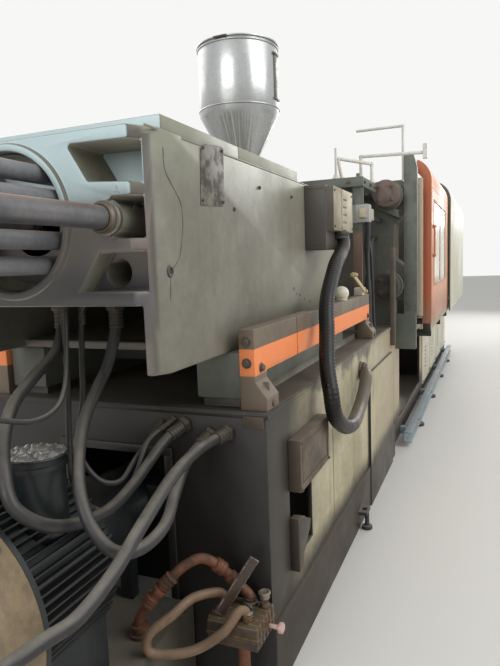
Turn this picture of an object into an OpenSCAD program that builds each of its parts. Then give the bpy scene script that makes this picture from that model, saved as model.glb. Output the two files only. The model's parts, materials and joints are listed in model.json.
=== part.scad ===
/* [Layout] */
// Height of the screw and clamp axis above the floor
axis_z = 1580; // [1560:5:1600]
// Rear end of the injection bed, measured from the middle of the machine
bed_x0 = -3120; // [-3140:5:-3100]
// Seam between injection bed and clamp bed
bed_x1 = -550; // [-570:5:-530]
// Far end of the machine
end_x = 4500; // [4400:10:4600]
// Rear face of the fixed platen
platen_x = -350; // [-360:5:-340]
// Rear face of the injection carriage
carriage_x = -3530; // [-3550:5:-3500]
// Length of the injection housing
housing_len = 1880; // [1840:10:1900]

/* [Beds] */
// Width of both beds
bed_w = 1186; // [1160:2:1200]
// Height of the injection bed
bed_h = 973; // [960:1:980]
// Height of the clamp bed's top
clamp_bed_h = 880; // [860:5:890]
// Wall of the welded beds
bed_wall = 20; // [12:1:26]
// Height of the plinth along the injection bed's foot
plinth_z = 235; // [200:5:250]
// Height of the ledge along the bed side
ledge_z = 800; // [780:5:820]
// How far the lower bed panel stands out
ledge_out = 20; // [12:1:28]

/* [Injection housing] */
// Width of the housing
housing_w = 900; // [880:2:910]
// Top of the housing sides
housing_top = 1800; // [1790:2:1810]
// Height of the saddle between bed and housing
saddle_h = 187; // [180:1:195]
// Thickness of the cast side wall
housing_wall = 40; // [30:2:50]
// Depth of the ribbed rear casting
casting_depth = 200; // [180:5:220]
// Underside of the ribbed rear casting
casting_bottom = 1350; // [1340:2:1360]
// Height of the lid on the housing
lid_h = 50; // [40:2:60]
// Radius of the hub ring in the rear casting
hub_r = 215; // [205:1:222]

/* [Injection unit] */
// Radius of the heated barrel
barrel_r = 95; // [85:1:105]
// Radius of the plasticising screw
screw_r = 44; // [40:0.5:46]
// Radius of the guide bars
guide_r = 25; // [22:0.5:26]
// Radius of the injection cylinder rods
rod_r = 30; // [27:0.5:32]
// Injection stroke
injection_stroke = 300; // [250:10:300]
// Carriage stroke
carriage_stroke = 250; // [200:10:250]
// Height of the hopper above the housing
hopper_h = 800; // [700:10:850]
// Radius of the hopper
hopper_r = 210; // [190:2:230]

/* [Clamp unit] */
// Thickness of the fixed platen
platen_t = 250; // [230:5:260]
// Half width of the platens
platen_half = 673; // [665:1:680]
// Height of the platens above and below the axis
platen_rise = 440; // [430:1:445]
// Radius of the tie bars
tie_r = 55; // [50:0.5:58]
// Sideways place of the tie bars
tie_y = 553; // [545:1:560]
// Height of the tie bars above and below the axis
tie_z = 327; // [320:1:332]
// Mould face of the moving platen at rest
moving_x = 900; // [850:10:920]
// Thickness of the moving platen
moving_t = 300; // [280:5:320]
// Closing stroke of the moving platen
clamp_stroke = 600; // [500:10:650]

/* [Guards] */
// Outer face of the sliding doors from the middle
door_y = 820; // [812:1:826]
// Depth of a sliding door
door_t = 70; // [60:1:74]
// Length of a sliding door
door_len = 1870; // [1840:5:1900]
// Top of the doors' straight part
door_straight_z = 2030; // [2020:5:2040]
// Bend radius of the curved guard tops
door_bend = 180; // [170:2:190]
// Outer face of the end guards from the middle
guard_y = 850; // [846:1:856]
// Height of the orange and grey beam above its feet
beam_h = 150; // [130:2:160]

/* [Pump] */
// Height of the pump motor's axis
motor_z = 600; // [590:2:610]
// Radius of the finned motor body
motor_r = 270; // [260:1:272]
// Radius of the motor's fan cowl
cowl_r = 320; // [312:1:324]

/* [Hidden] */
fit = 0.3;
nudge = 1;
half_bed = bed_w / 2;
half_housing = housing_w / 2;
housing_bottom = bed_h + saddle_h;
housing_x1 = carriage_x + housing_len;
casting_top = housing_top + 10;
casting_x1 = carriage_x + casting_depth;
beam_y0 = (half_housing + half_bed - 51) / 2;
beam_y1 = beam_y0 + 54;
way_y1 = beam_y0 - 16;
way_y0 = way_y1 - 140;
way_h = 30;
way_z = bed_h + way_h;
bars = [[110, 130], [150, 62], [150, -50], [115, -115]];
rod_y = 332;
carriage_rod_z = bed_h + 107;
rear_plate_x = carriage_x - 870;
rear_plate_t = 60;
thrust_t = 120;
thrust_x = carriage_x - injection_stroke - 150 - thrust_t;
hopper_x = housing_x1 - 200;
throat_r = 45;
nozzle_x = platen_x + platen_t - 30;
barrel_back = housing_x1 - 270;
barrel_front = platen_x - 100;
screw_tip = barrel_front - injection_stroke - 40;
platen_x1 = platen_x + platen_t;
feet_z = axis_z - platen_rise;
moving_back = moving_x + moving_t;
ejector_stroke = 100;
ejector_cylinder = 180;
ejector_x = moving_back + ejector_cylinder + ejector_stroke + 20;
cylinder_x = 2600;
cylinder_front_t = 400;
cylinder_len = 1500;
ram_r = 150;
ram_len = cylinder_x - moving_back + 200 + clamp_stroke;
door_x = platen_x1;
door_z0 = clamp_bed_h + 55 + fit;
bend_y = door_y - door_bend;
guard_x = 1670;
guard_skin = 15;
guard_post_y = bend_y;
bend_angle = 65;
window_z0 = 1240;
window_z1 = 1890;
window_x0 = door_x + 200;
window_x1 = door_x + 1370;
beam_x0 = bed_x0 + 20;
beam_x1 = beam_x0 + 1900;
beam_z = bed_h + 117;
column_x = platen_x - 80;
column_w = 60;
column_y0 = 657;
column_y1 = 750;
platform_z = 1900;
platform_t = 60;
platform_y = 510;
platform_x = bed_x1 - 600;
motor_x0 = bed_x0 - 730;
motor_x1 = motor_x0 + 370;
bell_r = 150;
bell_x1 = motor_x1 + 230;
pump_x1 = bell_x1 + 300;
base_top = 280;
valve_low = [-3300, -610, 275];
valve_high = [-3150, -440, 350];
chamfer = [80, 50];
hole_y = 307;
hole_drop = 142;
shaft_r = 30;
box_x = housing_x1 - 540;
box_y = half_housing + 100;
box_z = 1580;
cabinet_x0 = bed_x0 + 220;
cabinet_len = 1000;
cabinet_x1 = cabinet_x0 + cabinet_len;
cabinet_z0 = 100;
cabinet_z1 = 1500;
cabinet_door_t = 30;
cabinet_y1 = guard_y - cabinet_door_t - 5;
panel_x0 = -1050;
panel_w = 400;
panel_z0 = 1300;
panel_h = 420;
panel_y = 700;
steel = [0.55, 0.55, 0.53];
grey_green = [0.55, 0.55, 0.48];
cream = [0.88, 0.88, 0.78];
orange = [0.93, 0.5, 0.28];
dark = [0.2, 0.2, 0.2];
rust = [0.47, 0.29, 0.18];
rubber = [0.25, 0.25, 0.26];

/* Routes of the hoses, chosen by hand, and their radii */
conduit_r = 33;
conduit_path = [[-1985, -566, 1588], [-1995, -583, 1535], [-2060, -590, 1492], [-2209, -594, 1425],
    [-2387, -602, 1284], [-2475, -622, 1160], [-2560, -644, 1030], [-2620, -674, 930], [-2600, -682, 840],
    [-2450, -682, 755], [-2250, -674, 710], [-2040, -655, 715], [-1880, -648, 765], [-1770, -640, 825],
    [-1710, -620, 845], [-1690, -593, 850]];
left_hose_r = 17;
left_hose_path = [[-3400, -45, 1350], [-3405, -50, 1280], [-3450, -58, 1210], [-3550, -68, 1160],
    [-3660, -90, 1105], [-3750, -140, 1040], [-3805, -190, 970], [-3820, -225, 905], [-3770, -255, 845],
    [-3670, -262, 800], [-3520, -262, 775], [-3360, -250, 800], [-3210, -265, 880], [-3120, -300, 920]];
middle_hose_path = [[-3380, -230, 1350], [-3380, -225, 1270], [-3400, -205, 1170], [-3440, -195, 1110],
    [-3510, -200, 1040], [-3590, -235, 965], [-3670, -295, 890], [-3700, -350, 815], [-3690, -405, 760],
    [-3620, -438, 742], [-3510, -440, 755], [-3400, -412, 800], [-3270, -385, 850], [-3120, -390, 890]];
long_hose_path = [[-4100, -350, 260], [-4105, -355, 400], [-4110, -370, 560], [-4085, -400, 690],
    [-4000, -437, 722], [-3900, -455, 722], [-3790, -470, 765], [-3660, -472, 830], [-3470, -455, 885],
    [-3280, -440, 898], [-3120, -455, 900]];
thin_hose_r = 9;
thin_hose_path = [[-3440, -90, 1350], [-3440, -88, 1230], [-3440, -83, 1085], [-3440, -74, 940],
    [-3450, -80, 840], [-3445, -100, 765], [-3415, -150, 715], [-3370, -200, 730], [-3300, -218, 810],
    [-3220, -215, 885], [-3120, -255, 930]];
short_hose_path = [[-3370, -100, 1350], [-3375, -92, 1200], [-3385, -92, 1060], [-3405, -85, 960],
    [-3410, -95, 870], [-3390, -140, 800], [-3340, -180, 785], [-3260, -185, 830], [-3120, -205, 920]];
cable_r = 6.5;
cable_path = [[-3500, -147, 1350], [-3540, -175, 1240], [-3600, -212, 1146], [-3680, -245, 1105],
    [-3780, -257, 1101], [-3900, -245, 1140], [-4050, -225, 1190], [-4220, -210, 1230],
    [-4330, -202, 1280], [-4370, -200, 1350]];
water_hose_r = 15;
water_hose_path = [[-3215, -470, 376], [-3225, -450, 400], [-3300, -395, 412], [-3380, -365, 395],
    [-3430, -310, 350], [-3425, -315, 290], [-3370, -420, 285], [-3330, -510, 340], [-3290, -550, 395],
    [-3265, -565, 376]];
platen_hose_r = 14;
platen_hose_path = [[-500, -380, 973], [-505, -385, 1100], [-520, -400, 1260], [-520, -420, 1420],
    [-480, -430, 1540], [-410, -430, 1600], [-350, -430, 1610]];
water_pipe_r = 17;
water_pipe_path = [[-3350, -226, 297], [-3350, -226, 340], [-3300, -320, 470], [-3240, -400, 515],
    [-3180, -480, 430], [-3180, -540, 380]];

/* Shared shapes */
module block(low, high) {
    translate(low) cube(high - low);
}

module both_sides() {
    children();
    mirror([0, 1, 0]) children();
}

module along_x(x0, x1, y, z, r) {
    translate([x0, y, z]) rotate([0, 90, 0]) cylinder(h = x1 - x0, r = r, $fn = 48);
}

module along_y(x, y0, y1, z, r) {
    translate([x, y1, z]) rotate([90, 0, 0]) cylinder(h = y1 - y0, r = r, $fn = 48);
}

module along_z(x, y, z0, z1, r) {
    translate([x, y, z0]) cylinder(h = z1 - z0, r = r, $fn = 48);
}

/* A profile drawn in y and z, run along x */
module run_x(x0, x1) {
    translate([x0, 0, 0]) rotate([90, 0, 90]) linear_extrude(x1 - x0) children();
}

/* A straight round bar between two points */
module bar(a, b, r) {
    d = b - a;
    length = norm(d);
    translate(a) rotate([0, acos(d[2] / length), atan2(d[1], d[0])]) cylinder(h = length, r = r, $fn = 32);
}

/* Rings for a swept tube: the ends lie in the plane that the fitting gives */
function unit(v) = v / norm(v);
function heading(p, i, first, last) =
    i == 0 ? first : i == len(p) - 1 ? last : unit(unit(p[i + 1] - p[i]) + unit(p[i] - p[i - 1]));
function side(t) = unit(cross(t, abs(t[2]) > 0.8 ? [0, 1, 0] : [0, 0, 1]));
function ring(c, t, u, r, n) =
    [for (k = [0 : n - 1]) c + r * (cos(360 * k / n) * u + sin(360 * k / n) * cross(t, u))];
function carried(u, t) = unit(u - (u * t) * t);
function sides(t, i, u) = i == len(t) ? [] : concat([carried(u, t[i])], sides(t, i + 1, carried(u, t[i])));

module tube(path, r, first, last, n = 8) {
    t = [for (i = [0 : len(path) - 1]) heading(path, i, first, last)];
    u = sides(t, 0, side(t[0]));
    m = len(path);
    points = [for (i = [0 : m - 1]) each ring(path[i], t[i], u[i], r, n)];
    walls = [for (i = [0 : m - 2], k = [0 : n - 1]) let (a = i * n + k, b = i * n + (k + 1) % n)
        each [[a, a + n, b + n], [a, b + n, b]]];
    start = [for (k = [0 : n - 1]) k];
    end = [for (k = [n - 1 : -1 : 0]) (m - 1) * n + k];
    polyhedron(points, concat([start], walls, [end]), convexity = 6);
}

/* Curved guard section between two depths from the door's outer face */
function arc_points(r, a0, a1, n) =
    [for (i = [0 : n]) let (a = a0 + (a1 - a0) * i / n) [bend_y + r * cos(a), door_straight_z + r * sin(a)]];

module guard_profile(outer, depth, z0) {
    r_out = outer - bend_y;
    r_in = r_out - depth;
    polygon(concat([[outer - depth, z0], [outer, z0]], arc_points(r_out, 0, bend_angle, 10),
        arc_points(r_in, bend_angle, 0, 10)));
}

/* Beds and base */
module injection_bed() color(grey_green) difference() {
    union() {
        block([bed_x0, -half_bed, 0], [bed_x1, half_bed, bed_h]);
        both_sides() block([bed_x1 - 950, half_bed - nudge, 0], [bed_x1 - 150, half_bed + ledge_out, ledge_z]);
        block([bed_x0, -half_bed - ledge_out + 8, 0], [bed_x1, nudge - half_bed, plinth_z]);
        both_sides() block([bed_x0 + 60, way_y0, bed_h - nudge], [bed_x1 - 150, way_y1, way_z]);
        both_sides() block([-1850, half_bed - nudge, 90], [-1750, half_bed + 60, 110]);
    }
    block([bed_x0 + bed_wall, -half_bed + bed_wall, -nudge],
        [bed_x0 + 500, half_bed - bed_wall, bed_h - 30]);
    block([bed_x0 + 500 + bed_wall, -half_bed + bed_wall, -nudge],
        [bed_x1 - 1150, half_bed - bed_wall, bed_h - 30]);
    block([bed_x1 - 1150 + bed_wall, -half_bed + bed_wall, -nudge],
        [bed_x1 - bed_wall, half_bed - bed_wall, bed_h - 30]);
    block([bed_x0 - nudge, -210, 20], [bed_x0 + bed_wall + nudge, 210, 800]);
    block([bed_x0 + 205, -half_bed - nudge, 350], [bed_x0 + 465, -half_bed + bed_wall + nudge, 640]);
    translate([-1800, -half_bed - 35, 80]) cylinder(h = 40, r = 12, $fn = 32);
}

module access_covers() color(grey_green) {
    block([bed_x0 + 195, -half_bed - 48, 638], [bed_x0 + 577, -half_bed, 828]);
    translate([bed_x0, -half_bed, 0]) rotate([90, 0, 0]) linear_extrude(35)
        polygon([[195, 340], [247, 340], [250, 395], [325, 446], [342, 483], [300, 500], [270, 522],
            [238, 536], [195, 540]]);
    block([bed_x0 - 8, -half_bed + 8, bed_h - 50], [bed_x0, -half_bed + 78, bed_h - 12]);
}

module clamp_bed() color(grey_green) {
    difference() {
        block([bed_x1, -half_bed, 60], [end_x - 40, half_bed, clamp_bed_h]);
        block([bed_x1 + bed_wall, -half_bed + bed_wall, 0],
            [2300, half_bed - bed_wall, clamp_bed_h - 30]);
        block([2300 + bed_wall, -half_bed + bed_wall, 0],
            [end_x - 40 - bed_wall, half_bed - bed_wall, clamp_bed_h - 30]);
        block([-250, -half_bed - nudge, 200], [1150, half_bed + nudge, 760]);
        block([-50, -380, clamp_bed_h - 40], [850, 380, clamp_bed_h + nudge]);
    }
    both_sides() {
        block([200, 420, clamp_bed_h - nudge], [2400, 520, clamp_bed_h + 20]);
        block([door_x, door_y - 65, clamp_bed_h], [3450, door_y - 5, clamp_bed_h + 55]);
        for (x = [-60, 800, 1600, 2500, 3300])
            block([x, half_bed - nudge, clamp_bed_h - 50], [x + 60, door_y - 5, clamp_bed_h + nudge]);
    }
}

module bed_panels() color(cream) both_sides() {
    for (x = [1300, 2060, 2820, 3580])
        block([x, half_bed, 150], [x + 740, half_bed + 12, 780]);
}

module base_channels() color([0.6, 0.65, 0.68]) both_sides() difference() {
    union() {
        block([bed_x1 + 200, 640, 40], [end_x - 100, 700, 120]);
        for (x = [-200, 1200, 2600, 4000])
            block([x, half_bed, 62], [x + 60, 640 + nudge, 118]);
    }
    block([bed_x1 + 190, 648, 48], [end_x - 90, 701, 112]);
    for (i = [0 : 11])
        block([bed_x1 + 300 + i * 380, 630, 70], [bed_x1 + 360 + i * 380, 660, 90]);
}

module levelling_pads() color(dark) both_sides() {
    for (x = [300, 1400, 2500, 3600]) {
        along_z(x, 670, 0, 25, 55);
        along_z(x, 670, 25, 40, 20);
    }
    along_z(-1800, half_bed + 50, 0, 20, 28);
    along_z(-1800, half_bed + 50, 20, 90, 12 - fit);
}

/* Clamp unit */
module platen_outline(half, rise) {
    polygon([[-half + 40, -rise], [half - 40, -rise], [half, -rise + 40], [half, -tie_z + 120],
        [tie_y + 20, -130], [tie_y + 20, 130], [half, tie_z - 120], [half, rise - 40], [half - 40, rise],
        [-half + 40, rise], [-half, rise - 40], [-half, tie_z - 120], [-tie_y - 20, 130],
        [-tie_y - 20, -130], [-half, -tie_z + 120], [-half, -rise + 40]]);
}

module at_tie_bars() {
    for (y = [-tie_y, tie_y], z = [axis_z - tie_z, axis_z + tie_z])
        translate([0, y, z]) rotate([0, 90, 0]) children();
}

module fixed_platen() color([0.42, 0.43, 0.4]) difference() {
    union() {
        translate([0, 0, axis_z]) run_x(platen_x, platen_x1) platen_outline(platen_half, platen_rise);
        both_sides() block([platen_x, 300, clamp_bed_h], [platen_x1, 560, feet_z + nudge]);
        at_tie_bars() translate([0, 0, platen_x - 80])
            cylinder(h = 80 + nudge, r = column_y0 - tie_y - nudge, $fn = 64);
        both_sides() run_x(platen_x - 75, platen_x + nudge)
            polygon([[619, 1742], [619, 1800], [450, 1875], [450, 1820]]);
    }
    at_tie_bars() translate([0, 0, platen_x - 90])
        cylinder(h = platen_t + 100, r = tie_r + fit / 10, $fn = 64);
    along_x(platen_x - nudge, platen_x1 + nudge, 0, axis_z, 130);
    for (y = [-400, -200, 0, 200, 400], z = [-280, 280])
        along_x(platen_x1 - 40, platen_x1 + nudge, y, axis_z + z, 10);
}

module tie_bars() color([0.75, 0.75, 0.73]) at_tie_bars() translate([0, 0, platen_x - 200])
    cylinder(h = cylinder_x + cylinder_front_t - platen_x + 400, r = tie_r, $fn = 64);

module tie_bar_caps() color([0.45, 0.4, 0.36]) at_tie_bars() {
    difference() {
        union() {
            translate([0, 0, platen_x - 250]) cylinder(h = 170, r = 93, $fn = 64);
            for (a = [45 : 90 : 315])
                rotate([0, 0, a]) translate([66, 0, platen_x - 258]) cylinder(h = 10, r = 11, $fn = 24);
        }
        translate([0, 0, platen_x - 200]) cylinder(h = 200, r = tie_r + fit / 10, $fn = 64);
    }
    translate([0, 0, cylinder_x + cylinder_front_t]) difference() {
        cylinder(h = 120, r = 95, $fn = 64);
        translate([0, 0, -nudge]) cylinder(h = 130, r = tie_r + fit / 10, $fn = 64);
    }
}

module moving_platen() color([0.42, 0.43, 0.4]) difference() {
    union() {
        translate([0, 0, axis_z]) run_x(moving_x, moving_back) platen_outline(platen_half - 30, platen_rise);
        both_sides() block([moving_x, 380, clamp_bed_h + 20 + fit], [moving_back + 60, 560, feet_z + nudge]);
        for (z = [-260, 260])
            along_x(moving_back - nudge, moving_back + ejector_cylinder, 0, axis_z + z, 40);
    }
    at_tie_bars() translate([0, 0, moving_x - nudge])
        cylinder(h = moving_t + 80, r = tie_r + fit, $fn = 64);
    for (y = [-230, 230]) along_x(moving_x - nudge, moving_back + nudge, y, axis_z, 20 + fit);
    for (z = [-260, 260])
        along_x(moving_back + 20, moving_back + ejector_cylinder + 1, 0, axis_z + z, 15 + fit);
    for (y = [-400, -200, 0, 200, 400], z = [-280, 280])
        along_x(moving_x - nudge, moving_x + 40, y, axis_z + z, 10);
}

module clamp_ram() color([0.8, 0.8, 0.8]) {
    along_x(moving_back, moving_back + ram_len, 0, axis_z, ram_r);
}

module ejector() color(steel) {
    difference() {
        block([ejector_x, -280, axis_z - 300], [ejector_x + 30, 280, axis_z + 300]);
        along_x(ejector_x - 1, ejector_x + 31, 0, axis_z, ram_r + 20);
    }
    for (y = [-230, 230]) along_x(moving_x + ejector_stroke + 5, ejector_x, y, axis_z, 20);
    for (z = [-260, 260])
        along_x(moving_back + ejector_stroke + 30, ejector_x, 0, axis_z + z, 15);
}

module clamp_cylinder() color([0.42, 0.43, 0.4]) difference() {
    union() {
        translate([0, 0, axis_z]) run_x(cylinder_x, cylinder_x + cylinder_front_t)
            platen_outline(platen_half - 30, platen_rise);
        both_sides() block([cylinder_x, 300, clamp_bed_h],
            [cylinder_x + cylinder_front_t, 560, feet_z + nudge]);
        along_x(cylinder_x, cylinder_x + cylinder_len, 0, axis_z, 260);
    }
    at_tie_bars() translate([0, 0, cylinder_x - nudge])
        cylinder(h = cylinder_front_t + 10, r = tie_r + fit / 10, $fn = 64);
    along_x(cylinder_x - nudge, cylinder_x + cylinder_len - 80, 0, axis_z, ram_r + fit);
}

/* Guards */
module beam_guards() color(orange) both_sides() {
    block([beam_x0, beam_y0, beam_z], [beam_x1, beam_y1, beam_z + beam_h]);
    for (x = [beam_x0, beam_x1 - 110])
        run_x(x, x + 110) polygon([[beam_y0, bed_h], [half_bed - 3, bed_h], [half_bed - 3, bed_h + 42],
            [beam_y1, bed_h + 95], [beam_y1, beam_z + nudge], [beam_y0, beam_z + nudge]]);
}

module guard_columns() color([0.41, 0.44, 0.39]) both_sides() {
    run_x(column_x, column_x + column_w) polygon([[column_y0, 1040], [column_y1, 1040],
        [column_y1, door_straight_z + 60], [column_y1 - 28, door_straight_z + 170],
        [column_y0, door_straight_z + 170]]);
    block([column_x, half_bed, 780], [column_x + column_w, column_y1 - 10, 1041]);
    block([column_x + column_w - nudge, column_y1 - 60, 1960], [guard_x + 60, column_y1 - 5, 1980]);
    block([platen_x + 50, column_y1 - 19, 1015], [platen_x + 62, column_y1 + 27, door_straight_z]);
}

module end_guards() color(cream) {
    both_sides() {
        run_x(guard_x, end_x) {
            guard_profile(guard_y, guard_skin, clamp_bed_h);
            polygon([[guard_post_y - 40, door_straight_z + 175], [guard_post_y + 92, door_straight_z + 175],
                [guard_post_y + 92, door_straight_z + 188], [guard_post_y - 40, door_straight_z + 188]]);
        }
        for (x = [guard_x + 60, cylinder_x + cylinder_front_t + 140, end_x - 55]) {
            block([x, guard_post_y, clamp_bed_h - 40], [x + 40, guard_post_y + 40, door_straight_z + 176]);
            block([x, half_bed, clamp_bed_h - 40], [x + 40, guard_post_y + nudge, clamp_bed_h - 5]);
        }
    }
    difference() {
        block([end_x - 15, -guard_y + 5, clamp_bed_h], [end_x, guard_y - 5, door_straight_z + 10]);
        for (z = [1100 : 90 : 1700])
            block([end_x - 20, -300, z], [end_x + 5, 300, z + 30]);
    }
}

module door_shape(window) difference() {
    run_x(door_x, door_x + door_len) guard_profile(door_y, door_t, door_z0);
    run_x(door_x + 50, door_x + door_len - 50) intersection() {
        guard_profile(door_y - 6, door_t, door_z0);
        translate([0, door_z0 + 50]) square([1000, 1120]);
    }
    if (window) block([window_x0, door_y - 90, window_z0], [window_x1, door_y + 10, window_z1]);
}

module front_door() color(orange) mirror([0, 1, 0]) {
    door_shape(true);
    difference() {
        block([door_x + 90, door_y + fit, 1450], [door_x + 115, door_y + 22, 1700]);
        block([door_x + 80, door_y - 1, 1475], [door_x + 120, door_y + 12, 1675]);
    }
}

module rear_door() color(orange) door_shape(false);

module door_window() color([0.8, 0.85, 0.85]) mirror([0, 1, 0])
    block([window_x0, door_y - 6, window_z0], [window_x1, door_y - 1, window_z1]);

/* Walkway, tubes and loose bar */
module top_platform() color([0.5, 0.5, 0.46]) {
    block([platform_x, -platform_y, platform_z], [platen_x - 380, platform_y, platform_z + platform_t]);
    block([platen_x - 380 - nudge, -430, platform_z], [platen_x, 430, platform_z + platform_t]);
    both_sides() block([-1130, way_y0 + 100, way_z], [-1110, beam_y0 - fit, platform_z + nudge]);
    block([-1150, -545, 1680], [-1070, -465, 1790]);
    block([-1120, -505, 1789], [-1100, -475, platform_z + nudge]);
    along_z(-1100, -470, platform_z + platform_t - nudge, platform_z + platform_t + 26, 12);
}

module top_rails() color([0.9, 0.9, 0.88]) {
    z0 = platform_z + platform_t;
    lean_gap = 2.2;
    union() {
        bar([-1000, -345, z0 + lean_gap], [-1000, -320, 2105], 11);
        bar([-1000, -320, 2105], [-750, -490, 2090], 11);
        bar([-750, -490, 2090], [-750, -490, z0], 11);
        translate([-1000, -320, 2105]) rotate([35, 50, 0]) sphere(r = 13, $fn = 24);
        translate([-750, -490, 2090]) rotate([35, 50, 0]) sphere(r = 13, $fn = 24);
    }
    union() {
        bar([-720, -410, z0], [-720, -410, 2150], 11);
        bar([-720, -410, 2150], [-640, -820, 2150], 11);
        translate([-720, -410, 2150]) sphere(r = 13, $fn = 24);
        block([-655, -843, 2110], [-625, -813, 2205]);
    }
    bar([-1120, -335, z0], [-1120, -335, 2150], 8);
    union() {
        bar([platen_x + 20, -640, axis_z + platen_rise], [platen_x + 20, -640, 2405], 10);
        bar([platen_x + 20, -640, 2405], [platen_x + 20, -300, 2405], 10);
        translate([platen_x + 20, -640, 2405]) rotate([35, 50, 0]) sphere(r = 12, $fn = 24);
    }
}

module post_bar() color([0.36, 0.33, 0.28])
    block([bed_x1 - 125, -half_bed - 34, ledge_z + 40], [bed_x1 - 75, -half_bed, ledge_z + 725]);

/* Pump set */
module pump_motor() color([0.1, 0.14, 0.15]) difference() {
    union() {
        along_x(motor_x0 + 14, motor_x1, 0, motor_z, motor_r - 28);
        along_x(motor_x0, motor_x0 + 15, 0, motor_z, cowl_r);
        for (i = [0 : 35])
            translate([motor_x0 + 14, 0, motor_z]) rotate([i * 10, 0, 0])
                block([0, -4, motor_r - 32], [motor_x1 - motor_x0 - 34, 4, motor_r]);
        both_sides() block([motor_x0 + 60, 130, base_top], [motor_x1 - 40, 230, motor_z - 130]);
        along_z(motor_x0 + 200, -140, motor_z + 150, motor_z + 370, 75);
        along_z(motor_x0 + 200, -140, motor_z + 340, motor_z + 352, 82);
    }
    along_x(motor_x0 + 40, motor_x1 - 40, 0, motor_z, 150);
    along_x(motor_x0 - nudge, motor_x1 + nudge, 0, motor_z, shaft_r + 0.05);
    for (i = [0 : 11])
        rotate_about_motor(i * 30 + 15) along_x(motor_x0 - nudge, motor_x0 + 13, 0, motor_z + 282, 18);
}

module rotate_about_motor(angle) {
    translate([0, 0, motor_z]) rotate([angle, 0, 0]) translate([0, 0, -motor_z]) children();
}

module motor_cowl() color([0.43, 0.37, 0.3])
    translate([motor_x0, 0, motor_z]) rotate([0, -90, 0]) rotate_extrude($fn = 96)
        polygon(concat([[cowl_r - 6, 0], [cowl_r, 0], [cowl_r, 150]],
            [for (i = [1 : 8]) [120 + (cowl_r - 120) * cos(i * 10), 150 + 150 * sin(i * 10)]],
            [[118, 296]],
            [for (i = [8 : -1 : 0]) [114 + (cowl_r - 120) * cos(i * 10), 146 + 146 * sin(i * 10)]]));

module motor_rotor() color(steel) {
    along_x(motor_x0 - 120, bell_x1 - 40, 0, motor_z, shaft_r);
    difference() {
        along_x(motor_x0 + 60, motor_x1 - 60, 0, motor_z, 146);
        along_x(motor_x0 + 50, motor_x1 - 50, 0, motor_z, shaft_r - nudge);
    }
    for (i = [0 : 5])
        rotate_about_motor(i * 60) block([motor_x0 - 110, -5, motor_z + shaft_r - 4],
            [motor_x0 - 40, 5, motor_z + 250]);
}

module pump_base() color([0.3, 0.3, 0.28]) difference() {
    union() {
        block([-4200, -300, 0], [bed_x0 - 10, 300, base_top]);
        block([-4140, -385, 180], [-4060, -299, 260]);
    }
    block([-4180, -280, -nudge], [bed_x0 - 30, 280, base_top - 20]);
    for (x = [-4100, -3700])
        block([x, -301, 60], [x + 300, 301, 200]);
}

module hydraulic_pump() color([0.35, 0.35, 0.33]) difference() {
    union() {
        along_x(motor_x1, bell_x1, 0, motor_z, bell_r);
        along_x(bell_x1 - nudge, pump_x1, 0, motor_z, 110);
        block([pump_x1 - 120, -140, motor_z - 60], [pump_x1 - 20, 140, motor_z + 60]);
        both_sides() block([bell_x1 + 60, 40, base_top], [bell_x1 + 100, 90, motor_z - 60]);
    }
    along_x(motor_x1 - nudge, bell_x1 - 30, 0, motor_z, 120);
}

/* Water pipework */
module water_pipework() color(rust) {
    union() {
        for (i = [0 : len(water_pipe_path) - 2])
            bar(water_pipe_path[i], water_pipe_path[i + 1], water_pipe_r);
        for (i = [1 : len(water_pipe_path) - 2])
            translate(water_pipe_path[i]) rotate([35, 50, 0]) sphere(r = 26, $fn = 32);
        along_z(water_pipe_path[0][0], water_pipe_path[0][1], base_top, base_top + 40, 34);
        block(valve_low, valve_high);
        along_z(-3180, -540, valve_high[2] - nudge, 392, 26);
        along_z(-3180, -590, valve_high[2] - nudge, 385, 18);
        for (p = [water_hose_path[0], water_hose_path[len(water_hose_path) - 1]])
            along_z(p[0], p[1], valve_high[2] - nudge, p[2], water_hose_r + 4);
        along_z(-3200, -520, 0, valve_low[2] + nudge, 20);
        along_x(valve_high[0] - nudge, bed_x0, -560, 310, 15);
    }
    translate([-3285, -450, valve_high[2]]) rotate([0, -44, -46]) cube([200, 8, 80]);
}

module valve_handle() color([0.8, 0.55, 0.55]) {
    along_y(-3200, valve_low[1] - 30, valve_low[1] - fit, 305, 9);
    along_y(-3200, valve_low[1] - 52, valve_low[1] - 29, 305, 26);
}

/* Lubrication */
module lube_pump() color([0.85, 0.85, 0.8]) {
    z0 = beam_z + beam_h;
    difference() {
        block([beam_x1 - 180, -beam_y1, z0], [beam_x1 - 100, -beam_y0, z0 + 45]);
        along_y(beam_x1 - 140, -beam_y1 - 1, -beam_y0 - 20, z0 + 22, 6 + fit / 10);
    }
    translate([beam_x1 - 600, -(beam_y0 + beam_y1) / 2, z0]) difference() {
        union() {
            translate([0, 0, 38]) sphere(r = 38, $fn = 48);
            cylinder(h = 10, r = 20, $fn = 32);
        }
        translate([-50, -50, -50]) cube([100, 100, 50]);
    }
}

module lube_lever() color([0.75, 0.68, 0.5]) {
    z0 = beam_z + beam_h + 22;
    translate([beam_x1 - 140, -beam_y1 - 9, z0]) rotate([0, 18.6, 0])
        translate([-350, 0, -12]) cube([365, 8.7, 24]);
    along_y(beam_x1 - 140, -beam_y1 - 4, -beam_y0 - 22, z0, 6);
}

/* Controls on the far side */
module control_cabinet() color(cream) difference() {
    block([cabinet_x0, half_bed, cabinet_z0], [cabinet_x1, cabinet_y1, cabinet_z1]);
    block([cabinet_x0 + 20, half_bed + 20, cabinet_z0 + 20],
        [cabinet_x1 - 20, guard_y, cabinet_z1 - 20]);
}

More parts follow.
